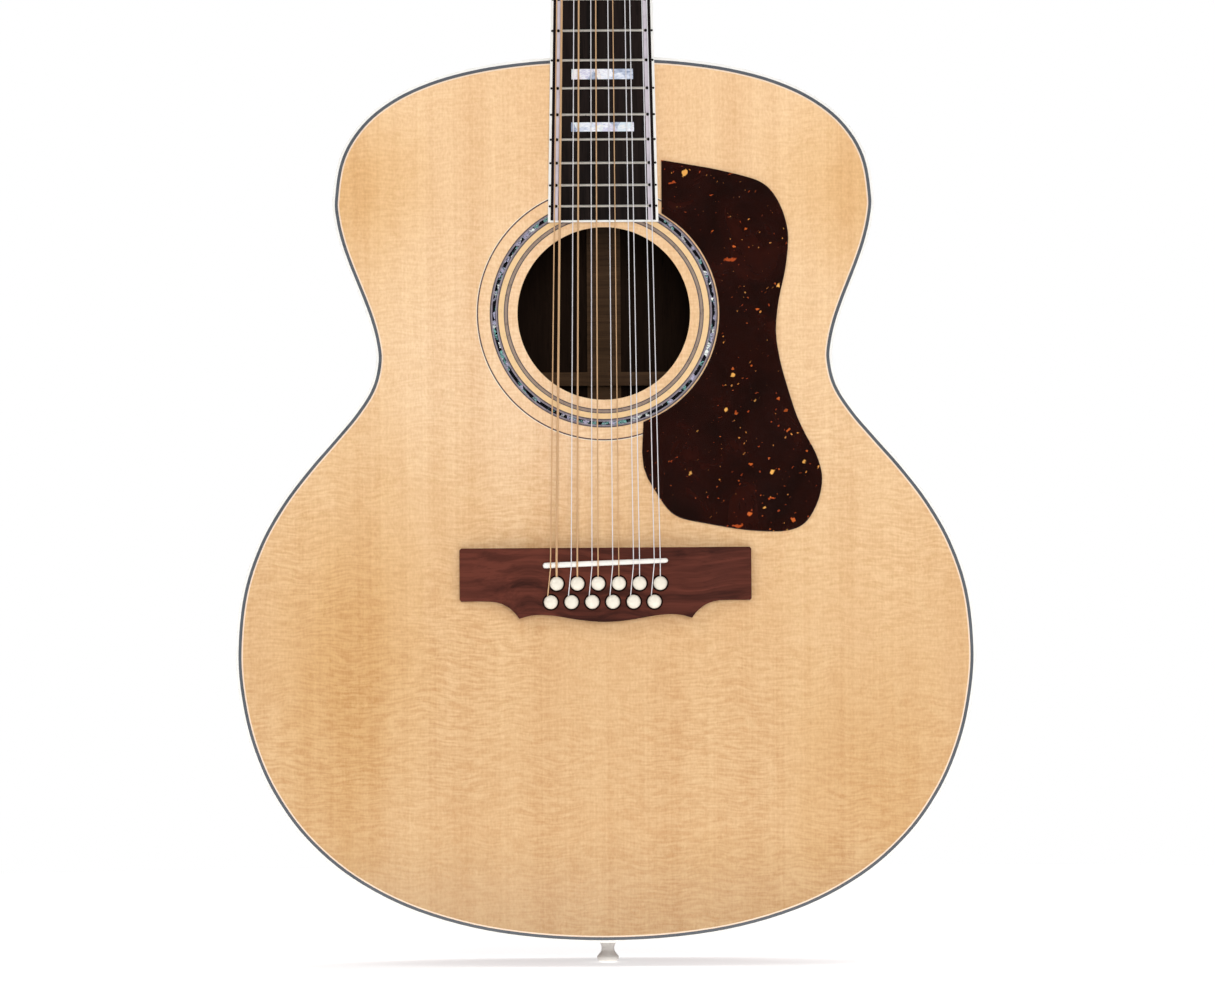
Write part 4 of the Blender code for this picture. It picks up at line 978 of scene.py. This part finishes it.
def saddle():
    """Bone saddle, set at a slant, with rounded ends and a rounded crest."""
    half = SADDLE_HIGH.x
    middle = (SADDLE_LOW.z + SADDLE_HIGH.z) / 2
    crest = TOP_Y - SADDLE_LOW.y
    sections = []
    for turn in across(0, math.pi, 40):
        x = -half * math.cos(turn)
        past = max((abs(x) - half + SADDLE_ROUND) / SADDLE_ROUND, 0.0)
        end = math.sqrt(max(1 - past ** 2, 0.0004))
        thick = (SADDLE_HALF - SADDLE_TAPER * (x + half) / (2 * half)) * end
        top = crest - x * x / (2 * ARCH_RADIUS) - SADDLE_DROP * (1 - end)
        z = middle + SADDLE_SLOPE * x
        over = [(share * thick, top - drop * MM) for share, drop in SADDLE_CREST]
        profile = [(-thick, SADDLE_FOOT), *over, (thick, SADDLE_FOOT)]
        sections.append([(x, TOP_Y - y, z + v) for v, y in profile])
    loft("saddle_bone", sections, "bone", "bone", stands_for=("saddle",), smooth=55)


def string_x(number, pitch, pair):
    """Sideways place of a string where courses have this pitch."""
    course, second = divmod(number, 2)
    return (course - (COURSES - 1) / 2) * pitch + (second - 0.5) * pair


def pin_place(number):
    """Place (x, z) of a bridge pin: octave strings go to the rear row."""
    return string_x(number, SADDLE_PITCH, SADDLE_PAIR), PIN_ROWS[number % 2]


def pins():
    """Twelve domed bridge pins."""
    for number in range(2 * COURSES):
        x, z = pin_place(number)
        bm = bmesh.new()
        turned(bm, Matrix.Translation((x, TOP_Y, z)), in_metres(PIN_SHAPE), 28)
        piece(f"bridge_pin_{number + 1:02d}", bm, "ivory", "bone", smooth=60)


# ---- Neck and fingerboard --------------------------------------------------------------------------------

def board_half_width(z):
    """Half width of the fingerboard and of the neck under it."""
    share = (NUT_LOW.z - z) / (NUT_LOW.z - BOARD_LOW.z)
    return NUT_HIGH.x + (BOARD_HIGH.x - NUT_HIGH.x) * share


FINGERBOARD = TOP_Y - BOARD_LOW.y - FRET_HEIGHT


def board_y(x, lift=0.0):
    """Front of the arched fingerboard, raised by lift."""
    return TOP_Y - FINGERBOARD - lift + x * x / (2 * ARCH_RADIUS)


def fret_z(number):
    """Height of a fret; the nut is number 0."""
    return NUT_LOW.z - SCALE_LENGTH * (1 - 2 ** (-number / 12))


def board_line(share, inset=0.0):
    """The function x(z) of a line up the fingerboard: a share of its half width, less the inset."""
    return lambda z: share * (board_half_width(z) - inset)


def board_strip(bm, low, high, left, right, lift=0.0, count=16):
    """Add a strip of the fingerboard's face; left and right give x at z."""
    rows = []
    for z in (low, high):
        top = [(x, board_y(x, lift), z) for x in across(left(z), right(z), count)]
        rows.append(top + [(right(z), TOP_Y, z), (left(z), TOP_Y, z)])
    add_loft(bm, rows)


def fingerboard():
    """Ebony board with its edge strips and end line."""
    low, high = BOARD_LOW.z, BOARD_HIGH.z
    bm = bmesh.new()
    board_strip(bm, low + END_LINE, high, board_line(-1, BOARD_CORE), board_line(1, BOARD_CORE))
    piece("board_core", bm, "ebony", "ebony", stands_for=("fingerboard",))
    for inner, outer, look in EDGE_STRIPS:
        bm = bmesh.new()
        one, two = inner * MM, outer * MM
        board_strip(bm, low + END_LINE, high, board_line(-1, one), board_line(-1, two), count=3)
        board_strip(bm, low + END_LINE, high, board_line(1, two), board_line(1, one), count=3)
        piece(f"board_edge_{look}", bm, look, "binding")
    bm = bmesh.new()
    board_strip(bm, low, low + END_LINE, board_line(-1), board_line(1))
    piece("board_end_line", bm, "white_plastic", "binding")


def frets():
    """Twenty crowned frets."""
    for number in range(1, FRETS + 1):
        z = fret_z(number)
        half = board_half_width(z) - FRET_INSET
        sections = []
        for x in across(-half, half, 16):
            height = FRET_HEIGHT * min(1.0, 0.25 + (half - abs(x)) / FRET_END)
            section = []
            for turn in across(0, math.pi, 8):
                lift = height * math.sin(turn)
                section.append((x, board_y(x, lift), z + FRET_HALF_WIDTH * math.cos(turn)))
            sections.append(section)
        loft(f"fret_{number:02d}", sections, "fret_metal", "nickel", smooth=60)


def fret_dots():
    """Dark plugs in the edge strips beyond the ends of the frets."""
    bm = bmesh.new()
    for number in range(1, FRETS + 1):
        z = fret_z(number)
        half = board_half_width(z)
        for hand in (-1, 1):
            for inset, radius in FRET_DOTS:
                x = hand * (half - inset)
                plug = ((-0.1 * MM, radius), (0.6 * MM, 0.9 * radius))
                turned(bm, Matrix.Translation((x, board_y(x), z)), plug, 14)
    piece("fret_dot_plugs", bm, "black_line", "nickel")


def inlays():
    """Pearl blocks between the frets."""
    for number in INLAY_FRETS:
        low, high = fret_z(number), fret_z(number - 1)
        middle = (low + high) / 2
        tall = (high - low) * INLAY_HEIGHT / 2
        sides = board_line(-INLAY_SHARE), board_line(INLAY_SHARE)
        bm = bmesh.new()
        board_strip(bm, middle - tall, middle + tall, *sides, LIFT, 12)
        piece(f"inlay_{number:02d}", bm, "pearl", "shell")


def neck_section(half_width, flat, depth, hollow, front=0.0):
    """A neck section as (x, depth), from one front corner round the back to the other."""
    quarter = [(half_width, front)]
    for angle in across(0, math.pi / 2, 14)[1:]:
        x = flat + (half_width - flat) * max(math.cos(angle), 0.0) ** hollow
        quarter.append((x, front + (depth - front) * math.sin(angle)))
    return quarter + [(-x, y) for x, y in reversed(quarter)]


def smooth_rows(rows, steps):
    """Rows of numbers with eased rows between them; the first number of a row is its place."""
    made = []
    for i in range(len(rows) - 1):
        before, after = rows[max(i - 1, 0)], rows[min(i + 2, len(rows) - 1)]
        one, two = rows[i], rows[i + 1]
        run = two[0] - one[0]
        for step in range(steps):
            s = step / steps
            row = [one[0] + run * s]
            for a, b, c, d in list(zip(before, one, two, after))[1:]:
                lean_one = (c - a) / max(two[0] - before[0], 1e-6) * run
                lean_two = (d - b) / max(after[0] - one[0], 1e-6) * run
                row.append(eased(b, c, lean_one, lean_two, s))
            made.append(row)
    return made + [list(rows[-1])]


def head_rows():
    """Stations up the headstock: height and half width in metres."""
    rows = smooth_rows(in_metres(HEAD_FLARE), 4)
    corner = rows[-1][1] - HEAD_TIP
    for angle in across(0, math.pi / 2, 12)[1:]:
        half = HEAD_TIP + corner * abs(math.cos(angle)) ** 1.4
        rows.append([HEAD_SHOULDER + HEAD_CROWN * math.sin(angle), half])
    return rows


def head_frame():
    """Matrix of the headstock's front face, from the first post's axis and the nut."""
    axis = Vector(JOINTS["string_post_01_turn"]["axis"])
    lean = math.atan2(axis.z, axis.y)
    return Matrix.Translation((0, TOP_Y, NUT_HIGH.z + 0.3 * MM)) @ Matrix.Rotation(lean, 4, "X")


HEAD = head_frame()


def in_head(joint):
    """Place of a joint, measured in the headstock's frame."""
    return HEAD.inverted() @ Vector(JOINTS[joint]["pos_m"])


def post_place(number):
    """Place of a string's post in the headstock's frame."""
    return in_head(f"string_post_{number + 1:02d}_turn")


def neck():
    """Mahogany heel, shaft and headstock in one, with a rosewood face on the headstock."""
    joint_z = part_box("heel_cap")[0].z - 0.5 * MM
    rows = smooth_rows(NECK_SECTIONS, 5)
    sections = []
    for rise, depth, flat, hollow in rows:
        z = joint_z + rise * MM
        half = max(board_half_width(z), NUT_HIGH.x)
        section = neck_section(half, flat * MM, depth * MM, hollow)
        sections.append([(x, TOP_Y + y, z) for x, y in section])
    for z, half in head_rows():
        section = neck_section(half, half - 1.5 * MM, HEAD_THICKNESS, 1.0, OVERLAY)
        sections.append([HEAD @ Vector((x, y, z)) for x, y in section])
    loft("neck_wood", sections, "mahogany", "mahogany", stands_for=("neck",), smooth=50)
    side = [(half, z) for z, half in head_rows()]
    outline = clockwise([(-x, z) for x, z in side] + side[::-1])
    bm = moulded(outline, level(0.0), level(OVERLAY), rounding=0.4 * MM, place=HEAD)
    piece("head_overlay", bm, "overlay", "rosewood")
    low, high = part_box("heel_cap")
    bm = slab(rounded(face_outline("heel_cap"), 4), level(low.y - 0.3 * MM), level(high.y))
    piece("heel_plate", bm, "overlay", "rosewood", stands_for=("heel_cap",))


def rod_cover():
    """Bell-shaped cover with three screws."""
    side = in_metres(COVER_SIDE)
    outline = clockwise(rounded(side + [(-x, z) for x, z in reversed(side)], 4, math.radians(60)))
    bm = moulded(outline, level(-COVER), level(0.0), rounding=0.5 * MM, place=HEAD)
    piece("cover_plate", bm, "black_line", "ebony", stands_for=("truss_rod_cover",))
    bm = bmesh.new()
    for x, z in in_metres(COVER_SCREWS):
        screw(bm, HEAD @ Matrix.Translation((x, -COVER, z)), radius=1.3 * MM)
    piece("cover_screws", bm, "nickel", "nickel")


def screw(bm, matrix, radius):
    """Add a small domed screw head, its axis along the local -Y."""
    turned(bm, matrix, [(rise * MM, radius * share) for rise, share in SCREW_HEAD], 18)


def rear_screw(bm, x, y, z, radius, place=None):
    """Add a screw head that faces backward, in the headstock's frame or in another one."""
    screw(bm, (place or HEAD) @ Matrix.Translation((x, y, z)) @ Matrix.Rotation(math.pi, 4, "Z"), radius)


# ---- Strings and tuners ----------------------------------------------------------------------------------

def string_y_at_nut(number):
    """Axis of a string as it crosses the nut."""
    x = string_x(number, NUT_PITCH, NUT_PAIR)
    return board_y(x, FRET_HEIGHT + NUT_GAP) - STRING_RADII[number] * MM


def string_y_at_saddle(number):
    """Axis of a string as it crosses the saddle."""
    x = string_x(number, SADDLE_PITCH, SADDLE_PAIR)
    return SADDLE_LOW.y - SADDLE_GAP + x * x / (2 * ARCH_RADIUS) - STRING_RADII[number] * MM


def strings():
    """Twelve strings from their pins over the saddle and nut to their posts."""
    saddle_z = (SADDLE_LOW.z + SADDLE_HIGH.z) / 2
    for number in range(2 * COURSES):
        radius = max(STRING_RADII[number], THINNEST_WIRE) * MM
        pin_x, pin_z = pin_place(number)
        at_saddle = string_x(number, SADDLE_PITCH, SADDLE_PAIR)
        at_nut = string_x(number, NUT_PITCH, NUT_PAIR)
        nut_y = string_y_at_nut(number)
        post = post_place(number)
        inward = -1 if post.x > 0 else 1
        at_post = HEAD @ Vector((post.x + inward * (POST_RADIUS + radius), -STRING_LEVEL, post.z))
        lead = pin_x - (0 if number % 2 else REAR_STRING_SHIFT)
        saddle_point = Vector((at_saddle, string_y_at_saddle(number), saddle_z + SADDLE_SLOPE * at_saddle))
        path = [
            # out of the hole beside the pin
            Vector((lead, TOP_Y - 8 * MM, pin_z - 1.5 * MM)),
            Vector((lead, TOP_Y - 9.6 * MM, pin_z + 3 * MM)),
            # over the saddle's crest
            saddle_point + Vector((0, 0.25 * MM, -1.6 * MM)),
            saddle_point,
            saddle_point + Vector((0, 0, 2 * MM)),
            # over the nut and on to the post
            Vector((at_nut, nut_y, NUT_LOW.z)),
            Vector((at_nut, nut_y, NUT_HIGH.z - MM)),
            at_post,
        ]
        bm = bmesh.new()
        tube(bm, path, radius, 12)
        wound = number in WOUND
        look, slot = ("bronze_wire", "wound_string") if wound else ("plain_wire", "plain_string")
        piece(f"wire_{number + 1:02d}", bm, look, slot, stands_for=(f"string_{number + 1:02d}",), smooth=80)
        wrap_post(number, radius, look, slot)


def post_matrix(number):
    """Placement of a post: its local Y runs back along its axis."""
    return HEAD @ Matrix.Translation(post_place(number))


def wrap_post(number, radius, look, slot):
    """The turns of a string round its post, which go round with it."""
    place = post_matrix(number)
    reach = WRAP_REACH + radius
    pitch = 2.05 * radius + 0.05 * MM
    path = []
    for turns in across(0, WINDINGS, 20 * WINDINGS):
        angle = 2 * math.pi * turns
        y = pitch * turns - STRING_LEVEL
        path.append(place @ Vector((reach * math.cos(angle), y, reach * math.sin(angle))))
    bm = bmesh.new()
    tube(bm, path, radius, 8)
    piece(f"wrap_{number + 1:02d}", bm, look, slot, body=f"string_post_{number + 1:02d}", smooth=80)


def posts():
    """Posts with their washers, and the gear wheels behind the headstock."""
    key_y = key_axis_depth()
    rear = -key_y - GEAR_THICKNESS / 2 - 0.7 * MM
    for number in range(2 * COURSES):
        body = f"string_post_{number + 1:02d}"
        place = post_matrix(number)
        bm = bmesh.new()
        turned(bm, place, in_metres(POST_SHAPE) + [(rear, POST_TAIL)])
        piece(f"post_{number + 1:02d}", bm, "nickel", "nickel", body=body, stands_for=(body,), smooth=50)
        gear(number, place, key_y, body)
        bm = bmesh.new()
        turned(bm, place, in_metres(BUSHING_SHAPE))
        piece(f"bushing_{number + 1:02d}", bm, "nickel", "nickel")


def gear(number, place, key_y, body):
    """Fourteen-tooth wheel with one tooth square over the worm, and the screw that holds it."""
    tooth = 2 * math.pi / GEAR_TEETH
    outline = []
    for i in range(GEAR_TEETH):
        for share, radius in ((-0.36, GEAR_ROOT), (-0.14, GEAR_TIP), (0.14, GEAR_TIP), (0.36, GEAR_ROOT)):
            angle = tooth * (i + share)
            outline.append((radius * math.sin(angle), -radius * math.cos(angle)))
    half = GEAR_THICKNESS / 2
    edge = half - 0.35 * MM
    sections = []
    for y, shrink in ((-half, 0.94), (-edge, 1.0), (edge, 1.0), (half, 0.94)):
        sections.append([place @ Vector((u * shrink, key_y + y, v * shrink)) for u, v in outline])
    loft(f"gear_wheel_{number + 1:02d}", sections, "gear_brass", "nickel", body=body, smooth=30)
    bm = bmesh.new()
    rear_screw(bm, 0, key_y + half, 0, 1.9 * MM, place)
    piece(f"gear_screw_{number + 1:02d}", bm, "nickel", "nickel", body=body)


def key_axis_depth():
    """Depth of the keys' axes behind the headstock's front face."""
    return in_head("tuner_key_01_turn").y


def worm_sections(place):
    """Right-handed thread whose hollow faces the gear's lowest tooth."""
    pitch = 2 * math.pi * GEAR_PITCH_RADIUS / GEAR_TEETH
    sections = []
    for x in across(-WORM_LENGTH / 2, WORM_LENGTH / 2, 48):
        fade = min(1.0, (WORM_LENGTH / 2 - abs(x)) / (0.4 * MM))
        section = []
        for angle in across(0, 2 * math.pi, 28)[:-1]:
            phase = x / pitch - (angle - math.pi / 2) / (2 * math.pi) - 0.5
            crest = max(0.0, math.cos(2 * math.pi * phase)) ** 0.8
            radius = WORM_CORE + (WORM_CREST - WORM_CORE) * crest * fade
            section.append(place @ Vector((x, radius * math.cos(angle), radius * math.sin(angle))))
        sections.append(section)
    return sections


def keys():
    """Worm, shaft and button of each tuner, turning on the key's joint."""
    button = smooth_rows(BUTTON_SHAPE, 3)
    shaft = WORM_CORE - 0.05 * MM
    for number in range(2 * COURSES):
        body = f"tuner_key_{number + 1:02d}"
        where = in_head(f"{body}_turn")
        place = HEAD @ Matrix.Translation(where)
        hand = 1 if where.x > 0 else -1
        bm = bmesh.new()
        add_loft(bm, worm_sections(place))
        turned_along_x(bm, place, ((-6 * MM * hand, shaft), ((KEY_LENGTH - 9 * MM) * hand, shaft)), 20)
        turned_along_x(bm, place, [(hand * x, radius) for x, radius in in_metres(COLLAR)], 24)
        piece(f"worm_{number + 1:02d}", bm, "nickel", "nickel", body=body, stands_for=(body,), smooth=50)
        sections = []
        for along, tall, thick in in_metres(button):
            x = hand * (KEY_LENGTH + along)
            sections.append([place @ Vector((x, thick * u, tall * v)) for u, v in circle(1.0, 32)])
        loft(f"button_{number + 1:02d}", sections, "nickel", "nickel", body=body, smooth=60)


def tuner_strips():
    """Nickel strip on each side of the headstock's back, with lugs for the keys and small screws."""
    lug_back = key_axis_depth() + 2.5 * MM
    back = HEAD_THICKNESS + STRIP
    for name, numbers in (("bass", range(COURSES)), ("treble", range(COURSES, 2 * COURSES))):
        posts_here = sorted((post_place(number) for number in numbers), key=lambda post: post.z)
        x = posts_here[0].x
        low, high = posts_here[0].z - STRIP_ENDS[0], posts_here[-1].z + STRIP_ENDS[1]
        bm = bmesh.new()
        block(bm, HEAD, (x - STRIP_HALF, HEAD_THICKNESS, low), (x + STRIP_HALF, back, high), 0.35 * MM)
        for post in posts_here:
            middle = post.z - KEY_DROP
            for hand in (-1, 1):
                left, right = sorted((x + hand * LUG[0], x + hand * LUG[1]))
                block(bm, HEAD, (left, HEAD_THICKNESS + MM, middle - LUG_HALF),
                      (right, lug_back, middle + LUG_HALF), 0.3 * MM)
        piece(f"strip_{name}", bm, "nickel", "nickel", stands_for=(f"tuner_plate_{name}",), smooth=35)
        bm = bmesh.new()
        for z in [low + END_SCREW, high - END_SCREW] + [post.z + MIDDLE_SCREW for post in posts_here[:-1]]:
            rear_screw(bm, x, back, z, STRIP_SCREW)
        piece(f"strip_screws_{name}", bm, "nickel", "nickel")


def strap_button():
    """Turned button at the tail, standing on the floor."""
    sections = [[(u, v, z) for u, v in circle(radius, 48)] for z, radius in in_metres(STRAP_BUTTON_SHAPE)]
    loft("end_button", sections, "bone", "bone", stands_for=("strap_button",), smooth=50)


def dress_cad_nodes():
    """Materials for the CAD nodes that are shown as they are."""
    looks = {
        # The blocks take the dark inside look, painted shade for the body's interior; back_bracing takes
        # shaded_brace, a shaded copy of brace_wood
        "neck_block": ("inside", "mahogany"), "tail_block": ("inside", "mahogany"),
        "top_bracing": ("brace_wood", "brace_wood"), "back_bracing": ("shaded_brace", "brace_wood"),
        "bridge_plate": ("brace_wood", "brace_wood"), "truss_rod": ("steel", "steel"),
        "nut": ("bone", "bone"),
    }
    for node, (look, slot) in looks.items():
        obj = frame["nodes"][node]
        for material_slot in obj.material_slots:
            material_slot.material = LOOKS[look]


# ---- Stage -----------------------------------------------------------------------------------------------

FRAME_WIDTH = 708.2 * MM         # width seen at the soundboard
CAMERA_DISTANCE = 5.0
CAMERA_X = 1.5 * MM
CAMERA_HEIGHT = BODY_LOW.z + 262.8 * MM
CAMERA_ROLL = 0.0065
FLOOR_RADIUS = 1.3


def floor():
    """Pale round floor that the guitar stands on."""
    look = Look("floor_paint", (0.86, 0.86, 0.86, 1), 0.7)
    glow = look.noise(look.scaled(2), 2.0)
    look.set("Emission Color", (1, 1, 1, 1))
    look.set("Emission Strength", look.span(glow, 0.3, 0.7, 0.62, 0.64))
    look.set("Specular IOR Level", 0.0)
    bm = bmesh.new()
    add_loft(bm, [[(u, v, z) for u, v in circle(FLOOR_RADIUS, 96)] for z in (-0.02, -0.0005)])
    mesh_object("floor", bm, look.material)


def camera():
    """Long lens in front of the guitar, level and rolled by a hair."""
    data = bpy.data.cameras.new("camera")
    data.sensor_width = 36
    data.lens = data.sensor_width * CAMERA_DISTANCE / FRAME_WIDTH
    data.clip_end = 100
    obj = bpy.data.objects.new("camera", data)
    obj.location = (CAMERA_X, TOP_Y - CAMERA_DISTANCE, CAMERA_HEIGHT)
    obj.rotation_euler = (math.pi / 2, CAMERA_ROLL, 0)
    bpy.context.scene.collection.objects.link(obj)
    bpy.context.scene.camera = obj


def area_light(name, place, aim, size, power, colour=(1, 1, 1)):
    """A soft square light."""
    data = bpy.data.lights.new(name, "AREA")
    data.shape = "RECTANGLE"
    data.size, data.size_y = size
    data.energy = power
    data.color = colour
    obj = bpy.data.objects.new(name, data)
    obj.location = place
    obj.rotation_euler = (Vector(aim) - Vector(place)).to_track_quat("-Z", "Y").to_euler()
    bpy.context.scene.collection.objects.link(obj)
    return obj


def lights():
    """Big soft boxes in front, above and at the sides; the far front one is never mirrored in the varnish."""
    middle = (0, 0, 0.45)
    area_light("key_box", (-1.6, -2.2, 2.2), middle, (1.6, 1.6), 24, (1.0, 0.985, 0.96))
    area_light("fill_box", (1.9, -2.0, 1.2), middle, (1.4, 1.8), 12, (0.97, 0.985, 1.0))
    area_light("rear_box", (0.8, 2.4, 1.9), middle, (1.8, 1.4), 40)
    area_light("front_box", (0.3, -6.5, 1.1), middle, (2.0, 2.0), 190).visible_glossy = False


def world():
    """White to the camera. Reflections see a dark room in front and bright walls at the sides and above."""
    made = bpy.data.worlds.new("studio")
    made.use_nodes = True
    tree = made.node_tree
    tree.nodes.clear()

    def add(kind, inputs=None, **settings):
        return add_node(tree, kind, inputs, **settings)

    def background(strength):
        return add("ShaderNodeBackground", {"Color": (1, 1, 1, 1), "Strength": strength}).outputs[0]

    parts = add("ShaderNodeSeparateXYZ", {"Vector": add("ShaderNodeTexCoord").outputs["Generated"]}).outputs
    path = add("ShaderNodeLightPath").outputs
    soft = add("ShaderNodeMapRange", {"Value": parts["Z"], "From Min": -1.0, "To Min": 0.09, "To Max": 0.25})
    span = {"Value": parts["Y"], "From Min": -0.96, "From Max": -0.72, "To Min": 0.03, "To Max": 0.5}
    walls = add("ShaderNodeMapRange", span, interpolation_type="SMOOTHSTEP")
    lit, mirrored = background(soft.outputs["Result"]), background(walls.outputs["Result"])
    light = add("ShaderNodeMixShader", {0: path["Is Glossy Ray"], 1: lit, 2: mirrored})
    view = add("ShaderNodeMixShader", {0: path["Is Camera Ray"], 1: light.outputs[0], 2: background(1.0)})
    add("ShaderNodeOutputWorld", {"Surface": view.outputs[0]})
    bpy.context.scene.world = made


soundboard()
edge_lines()
rosette()
back_board()
sides()
end_graft()
pickguard()
bridge()
saddle()
pins()
fingerboard()
frets()
fret_dots()
inlays()
neck()
rod_cover()
strings()
posts()
keys()
tuner_strips()
strap_button()
dress_cad_nodes()
floor()
camera()
lights()
world()
bpy.context.scene.view_settings.view_transform = "Standard"
